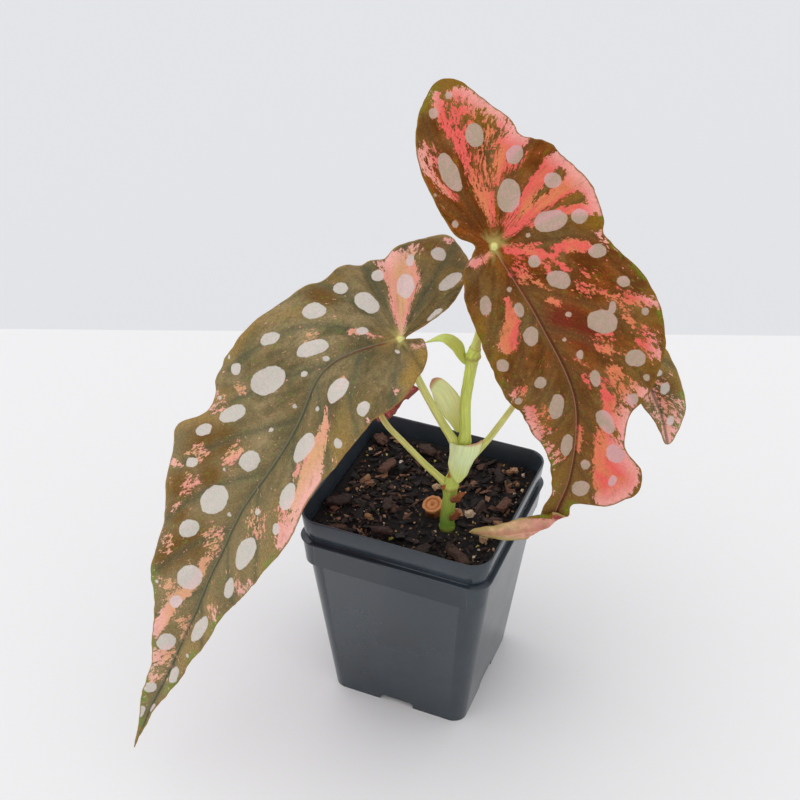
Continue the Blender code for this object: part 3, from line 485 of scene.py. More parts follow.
def leaf_skin(name, paints):
    """Upper side of a begonia leaf: a waxy skin over cells, so it has a soft, broken gloss, with
    silver air-filled spots, pink where green cells are missing, and sunken ribs with painted shade in
    them and a painted highlight along them."""
    mat, tree, shader = new_material(name, {"Roughness": 0.45, "IOR": 1.42,
                                            "Specular IOR Level": 0.12,
                                            "Subsurface Weight": 0.06, "Subsurface Scale": 0.001})
    flat, pink, spot = leaf_masks(tree, paints["fleck"])
    margin, vein, heart, behind, tinted, red, green_edge, pink_edge = (
        add(tree, "Attribute", {"attribute_name": key}).outputs["Fac"]
        for key in ("margin", "vein", "heart", "behind", "tinted", "red", "green", "pink"))
    across = add(tree, "SeparateXYZ", {"Vector": flat}).outputs[1]
    midrib = add(tree, "Math", {"operation": "MAXIMUM",
                                0: add(tree, "Math", {"operation": "ABSOLUTE", 0: across}),
                                1: behind})

    broad = add(tree, "TexNoise", {"Scale": 0.045, "Detail": 3.0, "Vector": flat})
    colour = add(tree, "Mix", {"data_type": "RGBA", "A": paints["ground"], "B": paints["grey"],
                               "Factor": add(tree, "MapRange",
                                             {"Value": broad, "From Min": 0.42, "From Max": 0.68})})
    shade = flow_noise(tree, 0.16, 4, 9.0)
    colour = add(tree, "Mix", {"data_type": "RGBA", "A": colour, "B": paints["dark"],
                               "Factor": add(tree, "MapRange",
                                             {"Value": shade, "From Min": 0.42, "From Max": 0.62,
                                              "To Max": 0.9})})
    golden = add(tree, "TexNoise", {"Scale": 0.06, "Detail": 3.0,
                                    "Vector": add(tree, "Attribute",
                                                  {"attribute_name": "ribs"}).outputs["Vector"]})
    golden = add(tree, "Math", {"operation": "MULTIPLY",
                                0: add(tree, "MapRange", {"Value": golden, "From Min": 0.45,
                                                          "From Max": 0.62, "To Max": 0.9}),
                                1: add(tree, "MapRange", {"Value": margin, "From Min": 16,
                                                          "From Max": 3})})
    for over, share in (
            (paints["golden"], golden),
            (paints["grey"], add(tree, "MapRange", {"Value": heart, "From Min": 30, "From Max": 110,
                                                    "To Max": 0.5})),
            (paints["tint"], add(tree, "Math", {"operation": "MULTIPLY", 0: tinted, 1: 0.8})),
            ("#7c2317", add(tree, "Math", {"operation": "MULTIPLY", 0: red, 1: 0.75}))):
        colour = add(tree, "Mix", {"data_type": "RGBA", "A": colour, "B": over,
                                   "Factor": share})
    # Painted sheen: a greyer tone along the sunken ribs away from the stalk, standing in for the soft
    # highlight in the rib valleys.
    painted_sheen_share = add(tree, "Math", {"operation": "MULTIPLY",
                                0: add(tree, "MapRange", {"Value": vein, "From Min": 3.2,
                                                          "From Max": 0.6, "To Max": 0.5}),
                                1: add(tree, "MapRange", {"Value": heart, "From Min": 6,
                                                          "From Max": 22})})
    # Painted shade: the groove tone darkens the leaf along the sunken side ribs.
    for over, share in (
            (paints["painted_sheen"], painted_sheen_share),
            (paints["groove"], add(tree, "MapRange", {"Value": vein, "From Min": 1.4,
                                                      "From Max": 0.6, "To Max": 0.3}))):
        colour = add(tree, "Mix", {"data_type": "RGBA", "A": colour, "B": over,
                                   "Factor": share})

    patch = add(tree, "TexNoise", {"Scale": 0.5, "Detail": 4.0, "Vector": flat})
    green = add(tree, "Math", {"operation": "MULTIPLY",
                               0: add(tree, "MapRange", {"Value": margin, "From Min": 4.5,
                                                         "From Max": 0.5}), 1: green_edge})
    green = add(tree, "Math", {"operation": "ADD", 0: green,
                               1: add(tree, "Math", {"operation": "MULTIPLY_ADD", 0: patch, 1: 1.8,
                                                     2: -1.0})})
    colour = add(tree, "Mix", {"data_type": "RGBA", "A": colour, "B": paints["green"],
                               "Factor": add(tree, "MapRange",
                                             {"Value": green, "From Min": 0.2, "From Max": 0.9,
                                              "To Max": 0.8})})
    olive = flow_noise(tree, 0.7, 4, 45.0, 0.7)
    colour = add(tree, "Mix", {"data_type": "RGBA", "A": colour, "B": paints["green"],
                               "Factor": add(tree, "MapRange",
                                             {"Value": olive, "From Min": 0.57, "From Max": 0.63,
                                              "To Max": 0.35})})
    grain = add(tree, "TexNoise", {"Scale": 1.6, "Detail": 3.0, "Vector": flat})
    colour = add(tree, "Mix", {"data_type": "RGBA", "blend_type": "MULTIPLY", "Factor": 1.0,
                               "A": colour,
                               "B": add(tree, "MapRange",
                                        {"Value": grain, "From Min": 0.3, "From Max": 0.7,
                                         "To Max": 1.25, "To Min": 0.75})})

    blush = add(tree, "Mix", {"data_type": "RGBA", "A": paints["hot"], "B": paints["warm"],
                              "Factor": add(tree, "MapRange",
                                            {"Value": flow_noise(tree, 0.11, 2, 13.0),
                                             "From Min": 0.45, "From Max": 0.6})})
    for over, share in (
            (paints["warm"], add(tree, "MapRange", {"Value": heart, "From Min": 105,
                                                    "From Max": 150, "To Max": 0.7})),
            (paints["pale"], add(tree, "MapRange", {"Value": margin, "From Min": 8.0,
                                                    "From Max": 0.5, "To Max": 0.9}))):
        blush = add(tree, "Mix", {"data_type": "RGBA", "A": blush, "B": over,
                                  "Factor": share})
    blush = add(tree, "Mix", {"data_type": "RGBA", "blend_type": "MULTIPLY", "Factor": 1.0,
                              "A": blush,
                              "B": add(tree, "MapRange", {"Value": grain, "From Min": 0.3,
                                                          "From Max": 0.7, "To Max": 1.1,
                                                          "To Min": 0.88})})
    streak = flow_noise(tree, 0.5, 3, 17.0)
    blush = add(tree, "Mix", {"data_type": "RGBA", "A": blush, "B": paints["tint"],
                              "Factor": add(tree, "MapRange",
                                            {"Value": streak, "From Min": 0.56, "From Max": 0.8,
                                             "To Max": 0.45})})
    colour = add(tree, "Mix", {"data_type": "RGBA", "A": colour, "B": blush, "Factor": pink})

    cloud = add(tree, "TexNoise", {"Scale": 0.4, "Detail": 3.0, "Vector": flat})
    rosy = add(tree, "Math", {"operation": "MAXIMUM",
                              0: add(tree, "MapRange", {"Value": cloud, "From Min": 0.5,
                                                        "From Max": 0.62, "To Max": 0.3}),
                              1: add(tree, "MapRange", {"Value": pink_edge, "From Min": 1.5,
                                                        "From Max": -1.5})})
    silver = add(tree, "Mix", {"data_type": "RGBA", "A": paints["spot"], "B": paints["spot_pink"],
                               "Factor": rosy})
    silver = add(tree, "Mix", {"data_type": "RGBA", "blend_type": "MULTIPLY", "Factor": 1.0,
                               "A": silver,
                               "B": add(tree, "MapRange",
                                        {"Value": grain, "From Min": 0.35, "From Max": 0.65,
                                         "To Max": 1.06, "To Min": 0.93})})
    colour = add(tree, "Mix", {"data_type": "RGBA", "A": colour, "B": silver, "Factor": spot})

    # Painted shade: the groove tone darkens the sunken midrib. Towards the stalk it turns to the rib's
    # own red colour.
    groove = add(tree, "Mix", {"data_type": "RGBA", "A": paints["groove"], "B": "#74301f",
                               "Factor": add(tree, "MapRange",
                                             {"Value": heart, "From Min": 45, "From Max": 12})})
    colour = add(tree, "Mix", {"data_type": "RGBA", "A": colour, "B": groove,
                               "Factor": add(tree, "MapRange",
                                             {"Value": midrib, "From Min": 0.9, "From Max": 0.3,
                                              "To Max": 0.65})})
    # Painted highlight: a pale line in the rib tone along one side of the midrib groove, standing in
    # for light catching its edge.
    painted_midrib_highlight = add(tree, "Math", {"operation": "ABSOLUTE",
                               0: add(tree, "Math", {"operation": "ADD", 0: across, 1: 0.55})})
    painted_midrib_highlight = add(tree, "Math", {"operation": "MAXIMUM", 0: painted_midrib_highlight, 1: behind})
    colour = add(tree, "Mix", {"data_type": "RGBA", "A": colour, "B": paints["rib"],
                               "Factor": add(tree, "MapRange",
                                             {"Value": painted_midrib_highlight, "From Min": 0.35, "From Max": 0.15,
                                              "To Max": 0.7})})
    ray = add(tree, "Math", {"operation": "MULTIPLY",
                             0: add(tree, "MapRange", {"Value": heart, "From Min": 8, "From Max": 2,
                                                       "To Max": 0.6}),
                             1: add(tree, "MapRange", {"Value": vein, "From Min": 1.2,
                                                       "From Max": 0.6})})
    star = add(tree, "Math", {"operation": "MAXIMUM", 0: ray,
                              1: add(tree, "MapRange", {"Value": heart, "From Min": 2.4,
                                                        "From Max": 1.2})})
    for over, share in (
            ("#cdbf6e", star),
            ("#e8df92", add(tree, "MapRange", {"Value": heart, "From Min": 1.5, "From Max": 0.8}))):
        colour = add(tree, "Mix", {"data_type": "RGBA", "A": colour, "B": over,
                                   "Factor": share})
    rim = add(tree, "Math", {"operation": "ADD", 0: margin,
                             1: add(tree, "Math", {"operation": "MULTIPLY_ADD", 0: patch, 1: 1.6,
                                                   2: -0.8})})
    colour = add(tree, "Mix", {"data_type": "RGBA", "A": colour, "B": paints["golden"],
                               "Factor": add(tree, "MapRange",
                                             {"Value": rim, "From Min": 0.7, "From Max": 0.3,
                                              "To Max": 0.8})})
    tree.links.new(pick(colour.outputs, "Result"), shader.inputs["Base Color"])

    gloss = add(tree, "MapRange", {"Value": grain, "From Min": 0.3, "From Max": 0.7, "To Max": 0.5,
                                   "To Min": 0.36})
    tree.links.new(gloss.outputs[0], shader.inputs["Roughness"])
    cells = add(tree, "TexVoronoi", {"Scale": 1.4, "Vector": flat})
    height = add(tree, "Math", {"operation": "MULTIPLY_ADD", 0: grain, 1: 0.8, 2: cells})
    bump = add(tree, "Bump", {"Strength": 0.5, "Distance": 0.00018, "Height": height})
    tree.links.new(bump.outputs[0], shader.inputs["Normal"])
    return mat


def leaf_underside(name, ground, blush, edge_colour, tip_colour):
    """Underside of a begonia leaf: wine red pigment under a matt skin, with raised paler ribs."""
    mat, tree, shader = new_material(name, {"Roughness": 0.5, "IOR": 1.42,
                                            "Specular IOR Level": 0.35,
                                            "Subsurface Weight": 0.1, "Subsurface Scale": 0.001})
    flat, pink, spot = leaf_masks(tree, 0.665)
    colour = add(tree, "Mix", {"data_type": "RGBA", "A": ground, "B": blush, "Factor": pink})
    colour = add(tree, "Mix", {"data_type": "RGBA", "A": colour, "B": "#cfa497",
                               "Factor": add(tree, "Math",
                                             {"operation": "MULTIPLY", 0: spot, 1: 0.35})})
    tail = add(tree, "TexNoise", {"Scale": 0.25, "Detail": 4.0, "Vector": flat})
    tail = add(tree, "Math", {"operation": "ADD",
                              0: add(tree, "Attribute", {"attribute_name": "tail"}).outputs["Fac"],
                              1: add(tree, "Math", {"operation": "MULTIPLY_ADD", 0: tail, 1: 1.2,
                                                    2: -0.6})})
    colour = add(tree, "Mix", {"data_type": "RGBA", "A": colour, "B": tip_colour,
                               "Factor": add(tree, "MapRange",
                                             {"Value": tail, "From Min": 0.2, "From Max": 0.9,
                                              "To Max": 0.85})})
    cloud = add(tree, "TexNoise", {"Scale": 0.3, "Detail": 5.0, "Vector": flat})
    colour = add(tree, "Mix", {"data_type": "RGBA", "blend_type": "MULTIPLY", "Factor": 1.0,
                               "A": colour,
                               "B": add(tree, "MapRange",
                                        {"Value": cloud, "From Min": 0.35, "From Max": 0.7,
                                         "To Max": 1.2, "To Min": 0.75})})
    colour = add(tree, "Mix", {"data_type": "RGBA", "A": colour, "B": "#a85a48",
                               "Factor": add(tree, "MapRange",
                                             {"Value": add(tree, "Attribute",
                                                           {"attribute_name": "vein"}).outputs["Fac"],
                                              "From Min": 1.5, "From Max": 0.6, "To Max": 0.5})})
    edge = add(tree, "Math", {"operation": "ADD",
                              0: add(tree, "Attribute", {"attribute_name": "margin"}).outputs["Fac"],
                              1: add(tree, "Math", {"operation": "MULTIPLY_ADD", 0: cloud, 1: 3.0,
                                                    2: -1.5})})
    colour = add(tree, "Mix", {"data_type": "RGBA", "A": colour, "B": edge_colour,
                               "Factor": add(tree, "MapRange",
                                             {"Value": edge, "From Min": 1.6, "From Max": 0.4,
                                              "To Max": 0.75})})
    tree.links.new(pick(colour.outputs, "Result"), shader.inputs["Base Color"])
    cells = add(tree, "TexVoronoi", {"Scale": 1.3, "Vector": flat})
    bump = add(tree, "Bump", {"Strength": 0.5, "Distance": 0.00018, "Height": cells})
    tree.links.new(bump.outputs[0], shader.inputs["Normal"])
    return mat


def leaf_rim(name, colour):
    """Edge of a leaf: a thin, slightly translucent line with a few redder stretches."""
    mat, tree, shader = new_material(name, {"Roughness": 0.5, "Subsurface Weight": 0.15,
                                            "Subsurface Scale": 0.001})
    patch = add(tree, "TexNoise", {"Scale": 0.2,
                                   "Vector": add(tree, "Attribute",
                                                 {"attribute_name": "flat"}).outputs["Vector"]})
    edge = add(tree, "Mix", {"data_type": "RGBA", "A": colour, "B": "#9a4f3f",
                             "Factor": add(tree, "MapRange",
                                           {"Value": patch, "From Min": 0.45, "From Max": 0.6})})
    tree.links.new(pick(edge.outputs, "Result"), shader.inputs["Base Color"])
    return mat


def stem_skin(name, low, high, tip, length):
    """Living begonia stem: a smooth juicy skin with a wet sheen, pale breathing pores a third of
    a millimetre across and faint lengthwise lines."""
    mat, tree, shader = new_material(name, {"Roughness": 0.38, "IOR": 1.42,
                                            "Subsurface Weight": 0.25, "Subsurface Scale": 0.002})
    skin = add(tree, "Attribute", {"attribute_name": "skin"}).outputs["Vector"]
    parts = add(tree, "SeparateXYZ", {"Vector": skin})
    share = add(tree, "Math", {"operation": "DIVIDE", 1: length, 0: parts.outputs[0]})
    ramp = add(tree, "ValToRGB", {"stops": [(0.0, low), (0.16, low), (0.34, high), (1.0, tip)],
                                  "Fac": share})
    squeeze = add(tree, "VectorMath", {"operation": "MULTIPLY", 1: (0.12, 1.4, 1.0), 0: skin})
    lines = add(tree, "TexNoise", {"Scale": 1.0, "Detail": 3.0, "Vector": squeeze})
    fall = add(tree, "MapRange", {"From Min": 0.3, "From Max": 0.7, "To Min": 0.8, "To Max": 1.15,
                                  "Value": lines})
    colour = add(tree, "Mix", {"data_type": "RGBA", "blend_type": "MULTIPLY", "Factor": 1.0,
                               "A": ramp, "B": fall})
    pores = add(tree, "TexVoronoi", {"Scale": 0.75, "Vector": skin})
    pores = add(tree, "MapRange", {"From Min": 0.2, "From Max": 0.12, "To Max": 0.4,
                                   "Value": pores})
    colour = add(tree, "Mix", {"data_type": "RGBA", "B": "#e3e3ad", "Factor": pores, "A": colour})
    ring = add(tree, "MapRange", {"From Min": 1.3, "From Max": 0.2, "To Max": 0.6,
                                  "Value": add(tree, "Attribute",
                                               {"attribute_name": "ring"}).outputs["Fac"]})
    colour = add(tree, "Mix", {"data_type": "RGBA", "B": "#8f7a34", "Factor": ring, "A": colour})
    scar = add(tree, "Math", {"operation": "MULTIPLY_ADD", 1: 1.6, 2: -0.8, 0: lines})
    scar = add(tree, "Math", {"operation": "ADD", 0: scar,
                              1: add(tree, "Attribute", {"attribute_name": "scar"}).outputs["Fac"]})
    scar = add(tree, "MapRange", {"From Min": 0.25, "From Max": -0.25, "Value": scar})
    colour = add(tree, "Mix", {"data_type": "RGBA", "B": "#a45f22", "Factor": scar, "A": colour})
    tree.links.new(pick(colour.outputs, "Result"), shader.inputs["Base Color"])
    bump = add(tree, "Bump", {"Strength": 0.3, "Distance": 0.0002, "Height": lines})
    tree.links.new(bump.outputs[0], shader.inputs["Normal"])
    return mat


def stipule_skin(name, base, middle, tip, roughness):
    """Papery stipule: a thin sheath with fine veins 0.7 mm apart that run to its tip."""
    mat, tree, shader = new_material(name, {"Roughness": roughness, "Subsurface Weight": 0.3,
                                            "Subsurface Scale": 0.002})
    flat = add(tree, "Attribute", {"attribute_name": "flat"}).outputs["Vector"]
    squeeze = add(tree, "VectorMath", {"operation": "MULTIPLY", 1: (0.08, 1.5, 1.0), 0: flat})
    veins = add(tree, "TexNoise", {"Scale": 1.0, "Detail": 3.0, "Vector": squeeze})
    ramp = add(tree, "ValToRGB", {"stops": [(0.0, base), (0.45, middle), (0.88, middle), (0.97, tip)],
                                  "Fac": add(tree, "Attribute",
                                             {"attribute_name": "share"}).outputs["Fac"]})
    fall = add(tree, "MapRange", {"Value": veins, "From Min": 0.35, "From Max": 0.65,
                                  "To Max": 1.06, "To Min": 0.9})
    colour = add(tree, "Mix", {"data_type": "RGBA", "blend_type": "MULTIPLY", "Factor": 1.0,
                               "A": ramp, "B": fall})
    tree.links.new(pick(colour.outputs, "Result"), shader.inputs["Base Color"])
    bump = add(tree, "Bump", {"Strength": 0.4, "Distance": 0.0002, "Height": veins})
    tree.links.new(bump.outputs[0], shader.inputs["Normal"])
    return mat


def moulded_polypropylene():
    """Injection-moulded black polypropylene: a satin grey-black skin with a fine orange-peel from
    the mould, and a little dried dust that lifts its roughness and its colour in patches."""
    mat, tree, shader = new_material("moulded_polypropylene", {"IOR": 1.49})
    place = add(tree, "NewGeometry")
    peel = add(tree, "TexNoise", {"Scale": 900.0, "Detail": 3.0,
                                  "Vector": place.outputs["Position"]})
    dust = add(tree, "TexNoise", {"Scale": 28.0, "Detail": 6.0, "Roughness": 0.65,
                                  "Vector": place.outputs["Position"]})
    colour = add(tree, "ValToRGB", {"stops": [(0.35, "#2a3137"), (0.6, "#333c44"), (0.8, "#3e4850")],
                                    "Fac": dust})
    tree.links.new(colour.outputs[0], shader.inputs["Base Color"])
    gloss = add(tree, "MapRange", {"From Min": 0.3, "From Max": 0.75, "To Min": 0.17,
                                   "To Max": 0.28, "Value": dust})
    tree.links.new(gloss.outputs[0], shader.inputs["Roughness"])
    bump = add(tree, "Bump", {"Strength": 0.25, "Distance": 6e-05, "Height": peel})
    tree.links.new(bump.outputs[0], shader.inputs["Normal"])
    return mat


def crumb_material(name, stops, roughness, grain_mm):
    """Broken or corky matter in the tone that its mesh carries, with grain across it."""
    mat, tree, shader = new_material(name, {"Roughness": roughness})
    place = add(tree, "NewGeometry")
    grain = add(tree, "TexNoise", {"Scale": 1 / (grain_mm * MM), "Detail": 4.0,
                                   "Vector": place.outputs["Position"]})
    tone = add(tree, "Math", {"operation": "MULTIPLY_ADD", 1: 0.3, 2: -0.15, 0: grain})
    tone = add(tree, "Math", {"operation": "ADD", 0: tone,
                              1: add(tree, "Attribute", {"attribute_name": "tone"}).outputs["Fac"]})
    colour = add(tree, "ValToRGB", {"stops": stops, "Fac": tone})
    tree.links.new(colour.outputs[0], shader.inputs["Base Color"])
    bump = add(tree, "Bump", {"Strength": 0.6, "Distance": 0.0004, "Height": grain})
    tree.links.new(bump.outputs[0], shader.inputs["Normal"])
    return mat


def matt_card(name, colour):
    """Stage only: matt white table and pale backdrop."""
    return new_material(name, {"Roughness": 0.6, "Base Color": colour})[0]


# ---------------------------------------------------------------------------------------------
# Leaf and stipule surfaces
# ---------------------------------------------------------------------------------------------


class Blade:
    """A leaf surface: flat leaf coordinates (along the midrib, across it) bent into space."""

    def __init__(self, spec):
        rows = [[*p, *Vector(f).normalized()] for p, f in zip(spec["spine"], spec["facing"])]
        samples = smooth_rows(rows, [SPINE_STEPS] * (len(rows) - 1))
        self.points, self.facing = samples[:, :3], samples[:, 3:]
        steps = np.linalg.norm(np.diff(self.points, axis=0), axis=1)
        reach = np.concatenate([[0.0], np.cumsum(steps)])
        self.reach = reach - reach[spec.get("attach", 0) * SPINE_STEPS]
        self.tangents = unit(np.gradient(self.points, axis=0))
        self.lift = np.radians(spec["lift"])
        self.roll_off = np.array(spec["roll_off"]) + 1e-7
        self.fold = spec.get("fold")

    def frame(self, along):
        """Midrib points, across directions and facing directions at distances along it."""
        held = np.clip(along, self.reach[0], self.reach[-1])

        def at(rows):
            return np.stack([np.interp(held, self.reach, column) for column in rows.T], axis=1)

        tangent = unit(at(self.tangents))
        point = at(self.points) + tangent * (along - held)[:, None]
        face = at(self.facing)
        face = unit(face - (face * tangent).sum(axis=1)[:, None] * tangent)
        return point, np.cross(face, tangent), face

    def place(self, flat):
        along, across, rise = flat[:, 0], flat[:, 1], np.zeros(len(flat))
        if self.fold:
            along, across, rise = self.turn_back(along, across)
        point, side, face = self.frame(along)
        half = np.where(across > 0, 0, 1)
        lift, roll_off, width = self.lift[half], self.roll_off[half], np.abs(across)
        end = lift - roll_off * width
        out = np.sign(across) * (np.sin(lift) - np.sin(end)) / roll_off
        up = (np.cos(end) - np.cos(lift)) / roll_off + rise
        return point + side * out[:, None] + face * up[:, None]

    def turn_back(self, along, across):
        """Fold the tail over a slanting crease, so that its underside faces outward.

        The lobe beside the tail, wider than the tail's half width, stays flat."""
        start, angle, radius = self.fold[0], radians(self.fold[1]), self.fold[2]
        kept_flat = np.clip(across - TAIL_HALF_WIDTH, 0, None) * (1 + LOBE_RELEASE) * sin(angle)
        past = (along - start) * cos(angle) + across * sin(angle) - kept_flat
        beside = -(along - start) * sin(angle) + across * cos(angle)
        bent = np.clip(past / radius, 0, pi)
        flat_past = kept_flat + np.where(past <= 0, past, np.where(
            past < pi * radius, radius * np.sin(bent), pi * radius - past))
        rise = radius * (1 - np.cos(bent))
        return (start + flat_past * cos(angle) - beside * sin(angle),
                flat_past * sin(angle) + beside * cos(angle), rise)


def to_segments(points, starts, ends):
    """Distance from points to segments and share along each, as (points, segments) arrays."""
    edge = ends - starts
    offset = points[:, None] - starts[None]
    share = np.clip((offset * edge).sum(axis=2) / (edge ** 2).sum(axis=1), 0, 1)
    return np.linalg.norm(offset - share[..., None] * edge, axis=2), share


def in_chunks(function, points, size=2000):
    return np.concatenate([function(points[i:i + size]) for i in range(0, len(points), size)])


def inside(points, outline):
    """Even-odd test of points against a closed outline."""
    ends = np.roll(outline, -1, axis=0)
    rise = (outline[None, :, 1] > points[:, None, 1]) != (ends[None, :, 1] > points[:, None, 1])
    height = np.where(ends[:, 1] == outline[:, 1], 1e-9, ends[:, 1] - outline[:, 1])
    cross = outline[:, 0] + (points[:, None, 1] - outline[:, 1]) * (ends[:, 0] - outline[:, 0]) / height
    return (rise & (points[:, None, 0] < cross)).sum(axis=1) % 2 == 1


def smooth_outline(points, size_at, notch):
    """A closed Catmull-Rom curve with points a cell apart, roughened by small notches."""
    points = np.array(points, float)
    count = len(points)
    curve = []
    for i in range(count):
        quad = [points[(i + k - 1) % count] for k in range(4)]
        steps = max(1, round(np.linalg.norm(quad[2] - quad[1]) / size_at(quad[1][0])))
        curve += [catmull_rom(*quad, k / steps) for k in range(steps)]
    curve = np.array(curve)
    outward = np.roll(curve, -1, axis=0) - np.roll(curve, 1, axis=0)
    outward = unit(np.stack([outward[:, 1], -outward[:, 0]], axis=1))
    teeth = [noise.noise(Vector((x / 3.5, y / 3.5, 2.0)))
             + 1.8 * noise.noise(Vector((x / 9, y / 9, 6.0))) for x, y in curve]
    return curve + outward * (notch * np.array(teeth))[:, None]


def flat_grid(spec, cell, notch):
    """Triangles over a leaf's outline: its border points first, then an even triangular grid."""
    fold = spec.get("fold")

    def size_at(along):
        return FOLD_CELL if fold and abs(along - fold[0]) < FOLD_REACH else cell

    outline = smooth_outline(spec["outline"], size_at, notch)
    low, high = outline.min(axis=0), outline.max(axis=0)
    chosen = [outline]
    for pitch in ({cell, FOLD_CELL} if fold else {cell}):
        rows = np.arange(low[1], high[1], pitch * sin(pi / 3))
        columns = np.arange(low[0], high[0] + pitch, pitch)
        grid = np.array([(x + 0.5 * pitch * (k % 2), y) for k, y in enumerate(rows) for x in columns])
        grid = grid[np.array([size_at(x) == pitch for x in grid[:, 0]])]
        grid = grid[in_chunks(lambda part: inside(part, outline), grid)]
        grid = grid[margin_of(grid, outline) > 0.55 * pitch]
        chosen.append(grid)
    points = [Vector(p) for p in np.vstack(chosen)]
    edges = [(i, (i + 1) % len(outline)) for i in range(len(outline))]
    verts, _, faces, *_ = delaunay_2d_cdt(points, edges, [], 1, 1e-4)
    return np.array([(v.x, v.y) for v in verts]), faces, outline


def margin_of(points, outline):
    ends = np.roll(outline, -1, axis=0)
    return in_chunks(lambda part: to_segments(part, outline, ends)[0].min(axis=1), points)


def spot_distance(points, spots):
    """Signed distance to the nearest elliptical spot, in millimetres; negative inside."""
    best = np.full(len(points), 10.0)
    for along, across, length, width, turn in spots:
        offset = points - (along, across)
        a = radians(turn)
        local = np.stack([offset @ (cos(a), sin(a)), offset @ (-sin(a), cos(a))], axis=1)
        half = np.array([length / 2, width / 2])
        near = np.linalg.norm(local / half, axis=1) + 1e-6
        steep = np.linalg.norm(local / half ** 2, axis=1) + 1e-6
        best = np.minimum(best, near * (near - 1) / steep)
    return best


def stroke_distance(points, strokes):
    """Signed distance to the nearest stroke, whose width changes along it."""
    best = np.full(len(points), 20.0)
    for stroke in strokes:
        rows = np.array(stroke, float)
        gap, share = to_segments(points, rows[:-1, :2], rows[1:, :2])
        half = (rows[:-1, 2] + (rows[1:, 2] - rows[:-1, 2]) * share) / 2
        best = np.minimum(best, (gap - half).min(axis=1))
    return best


def blobs(points, rows):
    """Soft round patches, from 1 at a patch's middle to 0 outside it."""
    best = np.zeros(len(points))
    for along, across, radius in rows:
        gap = np.hypot(points[:, 0] - along, points[:, 1] - across) / radius
        best = np.maximum(best, np.clip(1.4 * (1 - gap), 0, 1))
    return best


def rib_lines(spec):
    """The midrib, the ribs that fan from the stalk, and the side ribs that leave the midrib."""
    tip = max(p[0] for p in spec["outline"])
    midrib = [((0.0, 0.0), (tip, 0.0))]
    ribs = []
    for turn in spec["rays"]:
        ribs.append(rib_from((0.0, 0.0), turn, -0.12 * turn / 90))
    for along in spec["laterals"]:
        opening = 52 - 24 * along / tip
        for side in (1, -1):
            ribs.append(rib_from((along + 3.0 * side, 0.0), side * opening, -side * 0.35))
    return midrib, ribs


def rib_from(start, turn, curl):
    """Short segments of one rib, turning a little towards the tip, 60 mm long."""
    pieces, place, angle = [], np.array(start), radians(turn)
    for _ in range(12):
        after = place + 5.0 * np.array([cos(angle), sin(angle)])
        pieces.append((tuple(place), tuple(after)))
        place, angle = after, angle + radians(curl * 5.0)
    return pieces


def nearest(points, segments):
    starts = np.array([a for a, _ in segments], float)
    ends = np.array([b for _, b in segments], float)
    return in_chunks(lambda part: to_segments(part, starts, ends)[0].min(axis=1), points)


def leaf_relief(flat, values):
    """Height of the upper side in millimetres: sunken ribs, pillows between them, wavy margin."""
    ripple = np.array([noise.noise(Vector((x / 22, y / 22, 5.0))) for x, y in flat])
    puckers = np.array([noise.noise(Vector((x / 5, y / 5, 1.0))) for x, y in flat])
    vein, midrib, margin = values["vein"], values["midrib"], values["margin"]
    near_edge = np.exp(-margin / 5)
    pleats = 1.5 * (1 - np.exp(-(vein / 6.5) ** 2)) * (1 - 0.5 * near_edge)
    grooves = 0.3 * np.exp(-(vein / 0.9) ** 2) + 0.35 * np.exp(-(midrib / 0.9) ** 2)
    shoulders = 0.8 * (1 - np.exp(-(midrib / 4.5) ** 2)) * (1 - near_edge)
    turn = values["rays"][:, 1] + flat[:, 0] * 0.6
    wave = 1.25 * near_edge * np.sin(2 * pi * turn / RUFFLE_LENGTH + 2 * ripple)
    near_heart = np.clip(values["heart"] / 12, 0, 1)
    return near_heart * (pleats + shoulders - grooves + wave + 1.3 * ripple + 0.22 * puckers)


def leaf_values(flat, spec, outline):
    """What each point of a leaf carries for its material and its relief."""
    midrib, ribs = rib_lines(spec)
    heart = np.hypot(flat[:, 0], flat[:, 1])
    angle = np.arctan2(flat[:, 1], flat[:, 0]) - radians(spec["sinus"])
    angle = np.mod(angle, 2 * pi)
    lean = radians(38)
    along, out = flat[:, 0], np.abs(flat[:, 1])
    values = {
        "flat": np.column_stack([flat, np.full(len(flat), 3.0 * spec["attach"])]),
        "rays": np.column_stack([heart / 3, angle * 40, np.zeros(len(flat))]),
        "ribs": np.column_stack([(along * cos(lean) + out * sin(lean)) / 2.2,
                                 -along * sin(lean) + out * cos(lean), flat[:, 1] * 0.4]),
        "forward": np.clip((along + 4) / 16, 0, 1),
        "heart": heart,
        "margin": margin_of(flat, outline),
        "spot": spot_distance(flat, spec["spots"]),
        "pink": stroke_distance(flat, spec["pink"]),
        "mottle": blobs(flat, spec["mottled"]),
        "tinted": blobs(flat, spec["tinted"]),
        "green": blobs(flat, spec["green"]),
        "red": blobs(flat, spec.get("red", [])),
        "behind": -flat[:, 0],
        "tail": np.clip((flat[:, 0] - 128) / 34, 0, 1) if spec["fold"] else np.zeros(len(flat)),
        "midrib": nearest(flat, midrib),
    }
    vein = np.minimum(nearest(flat, [s for rib in ribs for s in rib]), values["midrib"])
    values["vein"] = np.hypot(vein, VEIN_HALF_WIDTH)
    return values


def surface_normals(verts, faces):
    faces = np.array([f[:3] for f in faces])
    a, b, c = (verts[faces[:, k]] for k in range(3))
    normals = np.zeros_like(verts)
    for k in range(3):
        np.add.at(normals, faces[:, k], np.cross(b - a, c - a))
    return unit(normals)


def thicken(piece, thickness, materials):
    solid = piece.modifiers.new("thickness", "SOLIDIFY")
    solid.thickness = thickness * MM
    solid.offset = -1.0
    if materials > 1:
        solid.material_offset = 1
        solid.material_offset_rim = 2
    return piece


